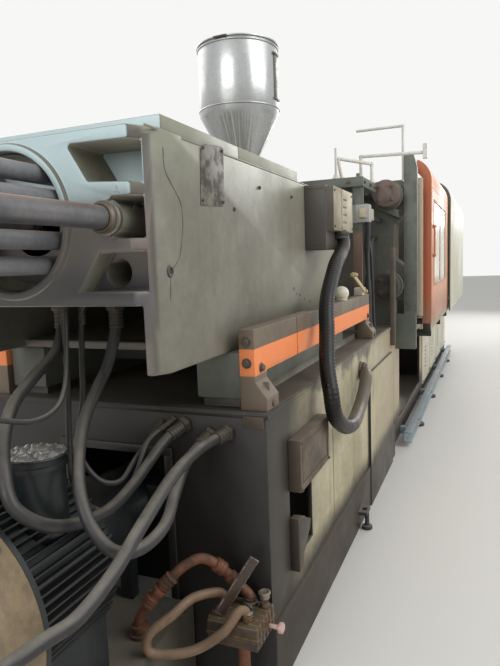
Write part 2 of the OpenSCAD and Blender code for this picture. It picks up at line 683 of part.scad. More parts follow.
module cabinet_door() color(cream) {
    y0 = cabinet_y1 + fit;
    block([cabinet_x0 + 2, y0, cabinet_z0 + 5], [cabinet_x1 - 5, y0 + cabinet_door_t - 12, cabinet_z1 - 5]);
    block([cabinet_x1 - 90, y0 + 17, 750], [cabinet_x1 - 60, y0 + 30, 850]);
}

module operator_panel() color([0.7, 0.7, 0.66]) difference() {
    union() {
        block([panel_x0, panel_y - 100, panel_z0], [panel_x0 + panel_w, panel_y, panel_z0 + panel_h]);
        block([panel_x0 + 150, half_bed + ledge_out, 300],
            [panel_x0 + 210, panel_y - 30, panel_z0 + nudge]);
    }
    block([panel_x0 + 40, panel_y - 6, panel_z0 + 180], [panel_x0 + 300, panel_y + 1, panel_z0 + 380]);
    along_y(panel_x0 + 80, panel_y - 30, panel_y + 1, panel_z0 + 90, 12 + fit);
    along_y(panel_x0 + 180, panel_y - 30, panel_y + 1, panel_z0 + 90, 12 + fit);
}

module panel_button(x, r) {
    along_y(panel_x0 + x, panel_y - 20, panel_y + 12, panel_z0 + 90, 12);
    along_y(panel_x0 + x, panel_y + 11, panel_y + 24, panel_z0 + 90, r);
}

module emergency_stop() color("red") panel_button(80, 22);
module start_button() color("green") panel_button(180, 16);

/* Injection carriage */
module saddle() color([0.4, 0.4, 0.37]) difference() {
    rail_y = way_y0 - 12;
    union() {
        both_sides() block([bed_x0 + 40, rail_y - nudge, way_z + fit],
            [housing_x1, way_y1 + 10, housing_bottom]);
        block([bed_x0 + 500, -rail_y, carriage_rod_z - 40], [bed_x0 + 900, rail_y, housing_bottom]);
        block([housing_x1 - 200, -rail_y, carriage_rod_z + 30], [housing_x1, rail_y, housing_bottom]);
        along_x(bed_x0 + 480, bed_x0 + 1100, 0, carriage_rod_z, 55);
    }
    along_x(bed_x0 + 470, bed_x0 + 1110, 0, carriage_rod_z, 20.05);
}

module carriage_rod() color([0.8, 0.8, 0.8]) {
    along_x(bed_x0 + 900 - carriage_stroke, bed_x1 - 60, 0, carriage_rod_z, 20);
    difference() {
        block([bed_x1 - 100, -60, bed_h], [bed_x1 - 60, 60, carriage_rod_z + 60]);
        along_x(bed_x1 - 101, bed_x1 - 59, 0, carriage_rod_z, 19);
    }
}

/* Pocket outlines in the rear casting, drawn in y and z */
module casting_pockets() {
    side_y = half_housing - 30;
    polygon([[side_y, 1668], [side_y, 1773], [224, 1777], [217, 1768], [273, 1678]]);
    difference() {
        polygon([[side_y, 1526], [side_y, 1634], [345, 1634], [336, 1620], [336, 1526]]);
        translate([rod_y, axis_z]) circle(r = rod_r + 11, $fn = 64);
    }
}

module injection_housing() color(grey_green) difference() {
    union() {
        both_sides() block([carriage_x + chamfer[0], half_housing - housing_wall, housing_bottom],
            [housing_x1, half_housing, housing_top]);
        both_sides() linear_extrude_z(housing_bottom, casting_bottom + nudge)
            polygon([[carriage_x + chamfer[0] * (1 - housing_wall / chamfer[1]), half_housing - housing_wall],
                [carriage_x + chamfer[0], half_housing], [carriage_x + chamfer[0] + 10, half_housing],
                [carriage_x + chamfer[0] + 10, half_housing - housing_wall]]);
        linear_extrude_z(casting_bottom, casting_top)
            polygon([[carriage_x, -half_housing + chamfer[1]], [carriage_x + chamfer[0], -half_housing],
                [casting_x1, -half_housing], [casting_x1, half_housing],
                [carriage_x + chamfer[0], half_housing], [carriage_x, half_housing - chamfer[1]]]);
        block([casting_x1 - nudge, -half_housing + 5, housing_top - 40],
            [housing_x1, half_housing - 5, housing_top]);
        block([bed_x0 + 40, -half_housing + 5, housing_bottom],
            [housing_x1, half_housing - 5, housing_bottom + 30]);
        block([housing_x1 - 50, -half_housing + 5, housing_bottom],
            [housing_x1, half_housing - 5, housing_top]);
        block([hopper_x - 140, -170, axis_z - 170], [housing_x1 - 49, 170, housing_top - 1]);
        both_sides() along_x(casting_x1 - nudge, casting_x1 + 800, rod_y, axis_z, 75);
        along_x(carriage_x - 14, carriage_x + 20, 0, axis_z + 5, hub_r);
        both_sides() along_x(carriage_x - 18, carriage_x + 5, rod_y, axis_z, rod_r + 14);
    }
    both_sides() run_x(carriage_x - nudge, carriage_x + 150) casting_pockets();
    both_sides() run_x(carriage_x - nudge, carriage_x + 70)
        polygon([[half_housing - 30, 1388], [half_housing - 30, 1492], [300, 1494], [226, 1388]]);
    along_x(carriage_x - 20, carriage_x + 100, 0, axis_z + 5, hub_r - 22);
    along_x(carriage_x, casting_x1 + nudge, 0, axis_z, 90);
    for (b = bars, s = [-1, 1])
        along_x(carriage_x - 20, casting_x1 + 1, s * b[0], axis_z + b[1], guide_r + fit / 10);
    both_sides() along_x(carriage_x - 20, casting_x1 + 780, rod_y, axis_z, rod_r + fit / 6);
    both_sides() along_x(carriage_x + 60, casting_x1 + nudge, hole_y, axis_z - hole_drop, 38);
    along_x(hopper_x - 150, housing_x1 + 1, 0, axis_z, barrel_r + fit / 10);
    along_z(hopper_x, 0, axis_z, housing_top + 1, throat_r + 3);
}

module linear_extrude_z(z0, z1) {
    translate([0, 0, z0]) linear_extrude(z1 - z0) children();
}

module housing_lid() color([0.6, 0.6, 0.55]) {
    x0 = carriage_x + 104;
    x1 = carriage_x + 1277;
    seam = carriage_x + 618;
    for (s = [[x0, seam - 1], [seam + 1, x1]]) difference() {
        block([s[0], -half_housing + 10, housing_top], [s[1], half_housing - 10, housing_top + lid_h]);
        block([s[0] - 1, -half_housing, housing_top - 1], [casting_x1, half_housing, casting_top]);
        block([max(s[0], casting_x1) + 5, -half_housing + 15, housing_top - 1],
            [s[1] - 5, half_housing - 15, housing_top + lid_h - 4]);
    }
}

module guide_bars() color([0.5, 0.5, 0.5])
    for (b = bars, s = [-1, 1])
        along_x(rear_plate_x, casting_x1, s * b[0], axis_z + b[1], guide_r);

module rear_plate() color(grey_green) difference() {
    block([rear_plate_x, -300, axis_z - 230], [rear_plate_x + rear_plate_t, 300, axis_z + 230]);
    for (b = bars, s = [-1, 1])
        along_x(rear_plate_x - 1, rear_plate_x + rear_plate_t + 1, s * b[0], axis_z + b[1],
            guide_r + fit / 10);
    along_x(rear_plate_x - 1, rear_plate_x + rear_plate_t + 1, 0, axis_z, 130);
}

module barrel() color([0.35, 0.33, 0.32]) difference() {
    union() {
        along_x(barrel_back, barrel_front, 0, axis_z, barrel_r);
        along_x(barrel_front - nudge, nozzle_x - 80, 0, axis_z, 55);
        along_x(nozzle_x - 81, nozzle_x, 0, axis_z, 28);
    }
    along_x(barrel_back - 1, barrel_front - 20, 0, axis_z, screw_r + fit);
    along_x(barrel_front - 21, nozzle_x + 1, 0, axis_z, 6);
    along_z(hopper_x, 0, axis_z, axis_z + barrel_r + 1, throat_r - 5);
}

module heater_bands() color([0.62, 0.6, 0.56])
    for (i = [0 : 4])
        difference() {
            along_x(housing_x1 + 60 + i * 220, housing_x1 + 230 + i * 220, 0, axis_z, barrel_r + 12);
            along_x(housing_x1 + 50 + i * 220, housing_x1 + 240 + i * 220, 0, axis_z, barrel_r + fit / 10);
        }

module hopper() color([0.75, 0.76, 0.76]) difference() {
    union() {
        block([hopper_x - 130, -130, housing_top], [hopper_x + 130, 130, housing_top + 25]);
        translate([hopper_x, 0, housing_top + 24]) rotate_extrude($fn = 64)
            polygon([[0, 0], [60, 0], [60, 120], [hopper_r, 400], [hopper_r, hopper_h - 60],
                [0, hopper_h - 60]]);
    }
    translate([hopper_x, 0, housing_top - 1]) rotate_extrude($fn = 64)
        polygon([[0, 0], [throat_r, 0], [throat_r, 145], [hopper_r - 6, 425], [hopper_r - 6, hopper_h],
            [0, hopper_h]]);
}

module hopper_lid() color([0.75, 0.76, 0.76]) {
    z0 = housing_top + hopper_h - 36 + fit;
    along_z(hopper_x, 0, z0, z0 + 8, hopper_r + 6);
    along_z(hopper_x, 0, z0 + 7, z0 + 35, 16);
}

module junction_box() color([0.4, 0.38, 0.34]) {
    block([box_x, -box_y, box_z - 78], [box_x + 160, -half_housing, box_z + 215]);
    difference() {
        block([box_x + 12, -box_y - 35, box_z + 8], [box_x + 400, -half_housing, box_z + 208]);
        for (i = [0 : 3])
            block([box_x + 200, -box_y - 36, box_z + 50 + i * 36],
                [box_x + 260, -box_y - 33, box_z + 56 + i * 36]);
    }
}

/* Injection drive */
module thrust_plate() color([0.35, 0.37, 0.38]) difference() {
    block([thrust_x, -385, axis_z - 210], [thrust_x + thrust_t, 385, axis_z + 210]);
    for (b = bars, s = [-1, 1])
        along_x(thrust_x - 1, thrust_x + thrust_t + 1, s * b[0], axis_z + b[1], guide_r + fit);
    both_sides() along_x(thrust_x - 1, thrust_x + thrust_t + 1, rod_y, axis_z, rod_r + fit / 10);
    along_x(thrust_x - 1, thrust_x + thrust_t + 1, 0, axis_z, screw_r - 3.5);
}

module hydraulic_motor() color([0.3, 0.32, 0.33]) difference() {
    union() {
        along_x(thrust_x - 400, thrust_x, 0, axis_z, 110);
        along_x(thrust_x - 40, thrust_x, 0, axis_z, 128);
    }
    along_x(thrust_x - 60, thrust_x + 1, 0, axis_z, screw_r - 3.5);
}

module injection_rods() color([0.8, 0.8, 0.8]) both_sides() {
    along_x(thrust_x, casting_x1 + 200, rod_y, axis_z, rod_r);
    along_x(thrust_x - 30, thrust_x, rod_y, axis_z, rod_r + 12);
}

module screw() color([0.7, 0.7, 0.7]) {
    along_x(thrust_x - 50, barrel_back + 500, 0, axis_z, screw_r - 4);
    translate([barrel_back + 495, 0, axis_z]) rotate([0, 90, 0])
        linear_extrude(screw_tip - 60 - barrel_back - 495, twist = -360 * 11, slices = 11 * 12) {
            circle(r = screw_r - 14, $fn = 16);
            translate([0, -7]) square([screw_r - 0.5, 14]);
        }
    translate([screw_tip - 61, 0, axis_z]) rotate([0, 90, 0])
        cylinder(h = 61, r1 = screw_r - 8, r2 = 4, $fn = 48);
}

/* Hoses and cables */
module conduit() color(rubber) tube(conduit_path, conduit_r, [0, 0, -1], [0, 1, 0]);
module left_hose() color(rubber) tube(left_hose_path, left_hose_r, [0, 0, -1], [1, 0, 0]);
module middle_hose() color(rubber) tube(middle_hose_path, left_hose_r, [0, 0, -1], [1, 0, 0]);
module long_hose() color(rubber) tube(long_hose_path, left_hose_r, [0, 0, 1], [1, 0, 0]);
module thin_hose() color(rubber) tube(thin_hose_path, thin_hose_r, [0, 0, -1], [1, 0, 0]);
module short_hose() color(rubber) tube(short_hose_path, thin_hose_r, [0, 0, -1], [1, 0, 0]);
module cable() color(rubber) tube(cable_path, cable_r, [0, 0, -1], [0, 0, 1]);
module water_hose() color([0.65, 0.53, 0.41]) tube(water_hose_path, water_hose_r, [0, 0, 1], [0, 0, -1]);
module platen_hose() color(rubber) tube(platen_hose_path, platen_hose_r, [0, 0, 1], [1, 0, 0]);

injection_bed();
access_covers();
clamp_bed();
bed_panels();
base_channels();
levelling_pads();
fixed_platen();
tie_bars();
tie_bar_caps();
clamp_cylinder();
beam_guards();
guard_columns();
end_guards();
top_platform();
top_rails();
post_bar();
pump_motor();
motor_cowl();
pump_base();
hydraulic_pump();
motor_rotor();
water_pipework();
valve_handle();
lube_pump();
lube_lever();
control_cabinet();
cabinet_door();
operator_panel();
emergency_stop();
start_button();
carriage_rod();
saddle();
injection_housing();
housing_lid();
guide_bars();
rear_plate();
barrel();
heater_bands();
hopper();
hopper_lid();
junction_box();
thrust_plate();
hydraulic_motor();
injection_rods();
screw();
moving_platen();
clamp_ram();
ejector();
front_door();
door_window();
rear_door();
conduit();
left_hose();
middle_hose();
long_hose();
thin_hose();
short_hose();
cable();
water_hose();
platen_hose();
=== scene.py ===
"""An injection moulding machine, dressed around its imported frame."""

import json
import math

import bpy
from bpy.props import FloatProperty, FloatVectorProperty, PointerProperty
from bpy.types import Operator, Panel, PropertyGroup
from mathutils import Matrix, Vector


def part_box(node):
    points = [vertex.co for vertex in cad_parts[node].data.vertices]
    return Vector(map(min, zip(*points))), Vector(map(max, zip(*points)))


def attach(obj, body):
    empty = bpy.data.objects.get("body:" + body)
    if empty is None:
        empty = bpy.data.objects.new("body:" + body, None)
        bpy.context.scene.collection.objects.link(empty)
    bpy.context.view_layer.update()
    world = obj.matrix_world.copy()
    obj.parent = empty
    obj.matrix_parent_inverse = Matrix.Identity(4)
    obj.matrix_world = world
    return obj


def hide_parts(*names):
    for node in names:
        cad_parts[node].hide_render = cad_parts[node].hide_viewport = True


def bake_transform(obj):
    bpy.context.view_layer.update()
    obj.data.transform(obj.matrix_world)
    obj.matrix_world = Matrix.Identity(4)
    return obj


bl_info = {
    "name": "Injection moulding machine",
    "version": (1, 0, 0),
    "blender": (4, 5, 0),
    "location": "View3D > Sidebar > Machine",
    "description": "Builds a worn horizontal injection moulding machine around its frame",
    "category": "Object",
}

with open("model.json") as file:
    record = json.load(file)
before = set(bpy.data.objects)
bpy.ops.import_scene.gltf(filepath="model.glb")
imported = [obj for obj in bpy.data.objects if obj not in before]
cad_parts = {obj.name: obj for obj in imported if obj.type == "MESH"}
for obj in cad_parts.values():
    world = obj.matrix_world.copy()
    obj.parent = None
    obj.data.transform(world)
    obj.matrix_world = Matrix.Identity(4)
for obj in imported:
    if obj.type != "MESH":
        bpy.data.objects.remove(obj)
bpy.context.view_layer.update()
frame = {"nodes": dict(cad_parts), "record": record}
RECORD = frame["record"]
BODY_OF = {node: body for body, nodes in RECORD["behaviour"]["bodies"].items() for node in nodes}
X_AXIS, Y_AXIS, Z_AXIS = Vector((1, 0, 0)), Vector((0, 1, 0)), Vector((0, 0, 1))

# Places along the machine that several pieces share: planes, half widths and heights
CARRIAGE_BACK, BED_END = -3.53, -3.12
HALF_HOUSING, HALF_BED, ROD_Y = 0.45, 0.593, 0.332
AXIS_Z, MOTOR_Z = 1.58, 0.6
POT = (-3.65, -0.14)
SIDES = (-1, 1)
DOWN, UP, INTO_BED = (0, 0, -1), (0, 0, 1), (1, 0, 0)


# Colours are written as 0 to 255 display values and turned into light values
def light(red, green, blue):
    def channel(value):
        value /= 255
        return value / 12.92 if value <= 0.04045 else ((value + 0.055) / 1.055) ** 2.4

    return channel(red), channel(green), channel(blue)


def colour_prop(name, description, rgb):
    return FloatVectorProperty(
        name=name, description=description, subtype="COLOR", size=3, min=0, max=1, default=light(*rgb)
    )


def length_prop(name, description, default, low, high):
    return FloatProperty(
        name=name, description=description, default=default, min=low, max=high, unit="LENGTH"
    )


class MachineColours(PropertyGroup):
    """Paints, metals and rubbers of the machine; the casting colour is painted light"""

    housing: colour_prop("Housing paint", "Grey-green paint of the injection housing", (132, 130, 116))
    # The casting colour is painted light: the pale, cyan-tinted light on the rear face, which the housing
    # paint lays on faces that look towards the rear
    casting: colour_prop("Casting paint", "Pale paint of the rear casting", (196, 217, 219))
    bed: colour_prop("Bed paint", "Grey paint of the beds", (184, 174, 143))
    grime: colour_prop("Grime", "Oil and dust that has settled on paint", (62, 57, 48))
    primer: colour_prop("Chipped paint", "What shows where paint is chipped", (72, 66, 58))
    orange: colour_prop("Orange paint", "Faded orange of the doors", (222, 163, 126))
    band: colour_prop("Orange band", "Orange of the beam guard's lower half", (236, 136, 78))
    guard: colour_prop("Guard grey", "Grey of the beam guard's upper half", (113, 98, 81))
    column: colour_prop("Column paint", "Grey of the guard columns", (104, 110, 100))
    cream: colour_prop("Cream paint", "Cream of the end guards and the cabinet", (226, 224, 202))
    iron: colour_prop("Platen paint", "Grey-green paint of the platens", (104, 106, 96))
    base: colour_prop("Base paint", "Pale blue-grey of the base channels", (152, 165, 172))
    motor: colour_prop("Motor paint", "Dark paint of the pump motor", (20, 29, 32))
    cowl: colour_prop("Cowl paint", "Brown dust over the motor's cowl", (146, 127, 99))
    rust: colour_prop("Rust", "Rusty pipes and fittings", (108, 62, 35))
    rubber: colour_prop("Rubber", "Dusty black hose rubber", (54, 53, 54))
    hose: colour_prop("Brown hose", "Brown water hose", (128, 101, 76))
    conduit: colour_prop("Conduit", "Dark ribbed conduit", (18, 17, 17))
    floor: colour_prop("Floor", "Plain pale floor", (214, 212, 206))


class MachineSizes(PropertyGroup):
    """Small sizes that the solids leave out"""

    cast_round: length_prop("Casting edge", "Rounding of cast edges", 0.007, 0.001, 0.02)
    sheet_round: length_prop("Sheet edge", "Rounding of folded sheet edges", 0.003, 0.0005, 0.01)
    rib_pitch: length_prop("Conduit ribs", "Distance between the conduit's ribs", 0.016, 0.006, 0.03)
    rib_depth: length_prop("Rib depth", "Depth of the conduit's ribs", 0.0014, 0.0005, 0.008)
    ferrule: length_prop("Ferrule", "Length of a hose's crimped ferrule", 0.055, 0.02, 0.1)


def colours():
    return bpy.context.scene.machine_colours


def sizes():
    return bpy.context.scene.machine_sizes


# Selecting and shaping
def pick(*pieces):
    """Deselect everything and select these pieces, the last one active"""
    if bpy.context.object and bpy.context.object.mode != "OBJECT":
        bpy.ops.object.mode_set(mode="OBJECT")
    bpy.ops.object.select_all(action="DESELECT")
    for piece in pieces:
        piece.select_set(True)
    bpy.context.view_layer.objects.active = pieces[-1]


def settle(piece, name):
    """Put the piece's place into its mesh"""
    pick(piece)
    bpy.ops.object.transform_apply(location=True, rotation=True, scale=True)
    piece.name = name
    return piece


def linked(name, mesh):
    """A new object around a mesh, in the scene and selected"""
    piece = bpy.data.objects.new(name, mesh)
    bpy.context.scene.collection.objects.link(piece)
    pick(piece)
    return piece


def rounded(piece, width, segments=2, angle=35):
    """Round the piece's sharp edges"""
    pick(piece)
    rounding = piece.modifiers.new("Rounding", "BEVEL")
    rounding.width = width
    rounding.segments = segments
    rounding.limit_method = "ANGLE"
    rounding.angle_limit = math.radians(angle)
    rounding.use_clamp_overlap = False
    bpy.ops.object.modifier_apply(modifier=rounding.name)
    bpy.ops.object.shade_smooth_by_angle(angle=math.radians(angle + 5))
    return piece


def choose_faces(piece, test):
    """Select in edit mode the faces whose centre and normal pass the test"""
    bpy.ops.object.mode_set(mode="OBJECT")
    for part in (piece.data.vertices, piece.data.edges):
        part.foreach_set("select", [False] * len(part))
    for face in piece.data.polygons:
        face.select = test(face.center, face.normal)
    bpy.ops.object.mode_set(mode="EDIT")
    bpy.ops.mesh.select_mode(type="FACE")


def box_mesh(name, low, high):
    low, high = Vector(low), Vector(high)
    bpy.ops.mesh.primitive_cube_add(size=1, location=(low + high) / 2, scale=high - low)
    return settle(bpy.context.object, name)


def plate(name, low, high, edge=0.002, segments=2):
    """A plate or box between two corners, with rounded edges"""
    return rounded(box_mesh(name, low, high), edge, segments)


def slab(name, x, y, z, edge=0.002, segments=2):
    """The same plate from its (low, high) reach along each direction"""
    return plate(name, *zip(x, y, z), edge, segments)


def about(middle, half):
    return middle - half, middle + half


def mirrored(places):
    return [(x, -y, z) for x, y, z in places]


def turns(count, first=0):
    """Angles of equal steps around a circle"""
    return [math.radians(360 / count * k + first) for k in range(count)]


def ring(x, radius, count, first=0, height=AXIS_Z):
    """Places on a circle that faces along X"""
    return [(x, radius * math.cos(a), height + radius * math.sin(a)) for a in turns(count, first)]


def turned_to(direction):
    return Vector(direction).to_track_quat("Z", "Y")


def placed(place, direction):
    return Matrix.Translation(place) @ turned_to(direction).to_matrix().to_4x4()


def cylinder(name, radius, depth, location, sides, rotation=(0, 0, 0)):
    bpy.ops.mesh.primitive_cylinder_add(
        vertices=sides, radius=radius, depth=depth, location=location, rotation=rotation)
    return settle(bpy.context.object, name)


def rod(name, start, end, radius, sides=32, edge=0.0015):
    """A round bar between two points, its rims rounded"""
    start, end = Vector(start), Vector(end)
    bar = cylinder(name, radius, (end - start).length, (start + end) / 2, sides,
                   turned_to(end - start).to_euler())
    return rounded(bar, edge)


def torus(name, radius, thickness, location, around, across, rotation=(0, 0, 0)):
    bpy.ops.mesh.primitive_torus_add(major_radius=radius, minor_radius=thickness, major_segments=around,
                                     minor_segments=across, location=location, rotation=rotation)
    piece = settle(bpy.context.object, name)
    bpy.ops.object.shade_smooth()
    return piece


def lathe(name, profile, start, direction, steps=48):
    """Spin a profile of (radius, distance) points about a line"""
    mesh = bpy.data.meshes.new(name)
    mesh.from_pydata([(radius, 0, along) for radius, along in profile],
                     [(i, i + 1) for i in range(len(profile) - 1)], [])
    piece = linked(name, mesh)
    bpy.ops.object.mode_set(mode="EDIT")
    bpy.ops.mesh.select_all(action="SELECT")
    bpy.ops.mesh.spin(steps=steps, angle=2 * math.pi, center=(0, 0, 0), axis=(0, 0, 1))
    bpy.ops.mesh.select_all(action="SELECT")
    bpy.ops.mesh.remove_doubles(threshold=0.00002)
    bpy.ops.mesh.normals_make_consistent(inside=False)
    bpy.ops.object.mode_set(mode="OBJECT")
    piece.data.transform(placed(start, direction))
    bpy.ops.object.shade_smooth_by_angle(angle=math.radians(40))
    return piece


def outline_plate(name, outline, axis, start, thickness, edge=0.001):
    """A flat outline of (u, v) points filled and extruded along X, Y or Z"""
    order = {"x": (2, 0, 1), "y": (0, 2, 1), "z": (0, 1, 2)}[axis]
    corners = [[(u, v, start)[k] for k in order] for u, v in outline]
    mesh = bpy.data.meshes.new(name)
    mesh.from_pydata(corners, [], [list(range(len(outline)))])
    piece = linked(name, mesh)
    bpy.ops.object.mode_set(mode="EDIT")
    bpy.ops.mesh.select_all(action="SELECT")
    shift = [(0, 0, thickness)[k] for k in order]
    bpy.ops.mesh.extrude_region_move(TRANSFORM_OT_translate={"value": shift})
    bpy.ops.mesh.select_all(action="SELECT")
    bpy.ops.mesh.normals_make_consistent(inside=False)
    bpy.ops.object.mode_set(mode="OBJECT")
    return rounded(piece, edge)


def joined(name, pieces):
    pick(*pieces)
    if len(pieces) > 1:
        bpy.ops.object.join()
    piece = bpy.context.object
    piece.name = name
    piece.data.name = name
    return piece


def copies(name, model, placings):
    """Copies of a model, each with its own mesh, as one piece"""
    made = []
    for placing in placings:
        made.append(linked(name, model.data.copy()))
        made[-1].data.transform(placing)
    bpy.data.objects.remove(model)
    return joined(name, made)


def bolt_heads(name, places, direction, across, washer=True):
    """Hexagon bolt heads on washers: one is modelled and the rest are its copies"""
    head = cylinder(name, across * 0.577, across * 0.6, (0, 0, across * 0.3), 6)
    choose_faces(head, lambda centre, normal: normal.z > 0.9)
    bpy.ops.mesh.inset(thickness=across * 0.07)
    bpy.ops.transform.translate(value=(0, 0, across * 0.05))
    bpy.ops.object.mode_set(mode="OBJECT")
    rounded(head, across * 0.03, 2, 20)
    if washer:
        disc = cylinder("washer", across * 0.85, across * 0.14, (0, 0, across * 0.07), 24)
        head = joined(name, [rounded(disc, across * 0.03, 1), head])
    return copies(name, head, [placed(place, direction) for place in places])


def socket_screws(name, places, direction, radius):
    """Round socket-head screws with a recess"""
    head = cylinder(name, radius, radius, (0, 0, radius / 2), 24)
    choose_faces(head, lambda centre, normal: normal.z > 0.9)
    bpy.ops.mesh.inset(thickness=radius * 0.45)
    bpy.ops.mesh.extrude_region_move(TRANSFORM_OT_translate={"value": (0, 0, -radius * 0.55)})
    bpy.ops.object.mode_set(mode="OBJECT")
    rounded(head, radius * 0.06, 2, 40)
    return copies(name, head, [placed(place, direction) for place in places])


# Bodies and finishes
def keep(piece, body, look):
    """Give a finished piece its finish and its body"""
    piece.data.materials.clear()
    piece.data.materials.append(finish(look))
    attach(piece, body)
    return piece


def merged(name, pieces, body, look):
    return keep(joined(name, pieces), body, look)


def hardware(name, pieces, body="frame"):
    """Fasteners and fittings of bare steel, as one piece"""
    return merged(name, pieces, body, "bolt_steel")


def screws(name, places, direction, radius, body="frame"):
    return hardware(name, [socket_screws(name, places, direction, radius)], body)


def paint_node(node, look):
    """A better finish for a solid whose shape is right"""
    solid = frame["nodes"][node]
    solid.data.materials.clear()
    solid.data.materials.append(finish(look))


def dressed(node, width, look, segments=2, angle=35):
    """A copy of a solid with its edges rounded, in the plain one's place"""
    skin = linked(node + "_skin", frame["nodes"][node].data.copy())
    bpy.ops.object.mode_set(mode="EDIT")
    bpy.ops.mesh.select_all(action="SELECT")
    bpy.ops.mesh.remove_doubles(threshold=0.00005)
    bpy.ops.mesh.customdata_custom_splitnormals_clear()
    bpy.ops.mesh.dissolve_limited(angle_limit=math.radians(0.6))
    bpy.ops.object.mode_set(mode="OBJECT")
    rounded(skin, width, segments, angle)
    keep(skin, BODY_OF[node], look)
    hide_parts(node)


# Swept tubes for hoses
def smooth_route(points, steps=8):
    """Points along one smooth curve through a route's own points"""
    route = [Vector(p) for p in points]
    route = [2 * route[0] - route[1], *route, 2 * route[-1] - route[-2]]
    made = []
    for a, b, c, d in zip(route, route[1:], route[2:], route[3:]):
        for step in range(steps):
            t = step / steps
            made.append(0.5 * (2 * b + (c - a) * t + (2 * a - 5 * b + 4 * c - d) * t**2
                               + (3 * b - a - 3 * c + d) * t**3))
    made.append(route[-2])
    return made


def evenly(points, gap):
    """The same curve with points a fixed distance apart"""
    made, left = [points[0]], gap
    for a, b in zip(points, points[1:]):
        length, at = (b - a).length, 0
        while length - at > left:
            at += left
            made.append(a.lerp(b, at / length))
            left = gap
        left -= length - at
    if (points[-1] - made[-1]).length < gap * 0.4:
        made.pop()
    return [*made, points[-1]]


def route_length(points):
    return sum((b - a).length for a, b in zip(points, points[1:]))


def swept(name, path, radius, sides, first, last):
    """A closed tube along a path; radius is a function of the distance from its start"""
    rings, along = [], 0
    across = Vector(first).orthogonal().normalized()
    for i, point in enumerate(path):
        if i:
            along += (point - path[i - 1]).length
        if i == 0:
            heading = Vector(first).normalized()
        elif i == len(path) - 1:
            heading = Vector(last).normalized()
        else:
            heading = (path[i + 1] - path[i - 1]).normalized()
        across = (across - across.dot(heading) * heading).normalized()
        other = heading.cross(across)
        size = radius(along)
        rings.append([point + size * (math.cos(2 * math.pi * k / sides) * across
                                      + math.sin(2 * math.pi * k / sides) * other)
                      for k in range(sides)])
    faces = [list(reversed(range(sides)))]
    for i in range(len(rings) - 1):
        for k in range(sides):
            n = (k + 1) % sides
            faces.append([i * sides + k, i * sides + n, (i + 1) * sides + n, (i + 1) * sides + k])
    faces.append([(len(rings) - 1) * sides + k for k in range(sides)])
    mesh = bpy.data.meshes.new(name)
    mesh.from_pydata([corner for ring in rings for corner in ring], [], faces)
    # Rows of texture places along the hose
    layer = mesh.uv_layers.new(name="Along")
    distances = [0]
    for a, b in zip(path, path[1:]):
        distances.append(distances[-1] + (b - a).length)
    for loop in mesh.loops:
        ring, k = divmod(loop.vertex_index, sides)
        layer.data[loop.index].uv = (k / sides, distances[ring])
    piece = linked(name, mesh)
    bpy.ops.object.shade_smooth_by_angle(angle=math.radians(50))
    return piece


def hose_end(name, point, direction, radius):
    """A hexagon nut and a crimped ferrule, from the fitting's face along the hose"""
    point, direction = Vector(point), Vector(direction).normalized()
    length = sizes().ferrule
    nut = radius * 1.15
    hexagon = rod(name + "_nut", point, point + direction * nut, radius * 1.75, 6, radius * 0.08)
    profile = [(0, nut), (radius * 1.3, nut)]
    grooves = 4
    for i in range(grooves):
        start = nut + 0.15 * length + i * length / (grooves + 1)
        profile += [(radius * 1.3, start), (radius * 1.2, start + length * 0.03),
                    (radius * 1.2, start + length * 0.08), (radius * 1.3, start + length * 0.11)]
    profile += [(radius * 1.3, nut + length * 0.97), (radius * 1.2, nut + length),
                (radius * 1.02, nut + length), (radius * 0.9, nut + length * 0.95), (0, nut + length * 0.95)]
    ferrule = lathe(name + "_ferrule", profile, point, direction, 32)
    return joined(name, [hexagon, ferrule])


# Shader building
def new_material(name):
    material = bpy.data.materials.new(name)
    material.use_nodes = True
    tree = material.node_tree
    return material, tree, tree.nodes["Principled BSDF"]


def tone(colour):
    """Light values of a colour: display values, or the name of a colour property"""
    return tuple(getattr(colours(), colour)) if isinstance(colour, str) else light(*colour)


def put(tree, kind, settings=None, links=None, **values):
    """A shader node with its settings, linked inputs and plain values"""
    made = tree.nodes.new(kind)
    for key, value in (settings or {}).items():
        setattr(made, key, value)
    for key, value in values.items():
        made.inputs[key.replace("_", " ")].default_value = value
    for key, source in (links or {}).items():
        tree.links.new(source, made.inputs[key])
    return made


def feed(tree, socket, value):
    """Link another node's output to a socket, or give it a plain value"""
    if isinstance(value, bpy.types.NodeSocket):
        tree.links.new(value, socket)
    elif isinstance(value, tuple):
        socket.default_value = (*value, 1)
    else:
        socket.default_value = value


def blend_colour(tree, amount, under, over):
    made = put(tree, "ShaderNodeMix", {"data_type": "RGBA"})
    for socket, value in zip((made.inputs["Factor"], made.inputs[6], made.inputs[7]), (amount, under, over)):
        feed(tree, socket, value)
    return made.outputs[2]


def sum_up(tree, operation, a, b, cap=True):
    """A sum of two values; products and sums stay between 0 and 1 unless cap is off"""
    made = put(tree, "ShaderNodeMath", {"operation": operation,
                                        "use_clamp": cap and operation in {"MULTIPLY", "ADD"}})
    feed(tree, made.inputs[0], a)
    feed(tree, made.inputs[1], b)
    return made.outputs[0]


def spread(tree, value, low, high, to_low=0.0, to_high=1.0):
    made = put(tree, "ShaderNodeMapRange", {"interpolation_type": "SMOOTHSTEP"})
    for socket, number in zip(made.inputs[:5], (value, low, high, to_low, to_high)):
        feed(tree, socket, number)
    return made.outputs[0]


def object_place(tree):
    return put(tree, "ShaderNodeTexCoord").outputs["Object"]


def new_group(name, inputs, outputs):
    tree = bpy.data.node_groups.new(name, "ShaderNodeTree")
    for label, default in inputs:
        socket = tree.interface.new_socket(label, in_out="INPUT", socket_type="NodeSocketFloat")
        socket.default_value = default
    for label in outputs:
        tree.interface.new_socket(label, in_out="OUTPUT", socket_type="NodeSocketFloat")
    return tree, tree.nodes.new("NodeGroupInput").outputs, tree.nodes.new("NodeGroupOutput").inputs


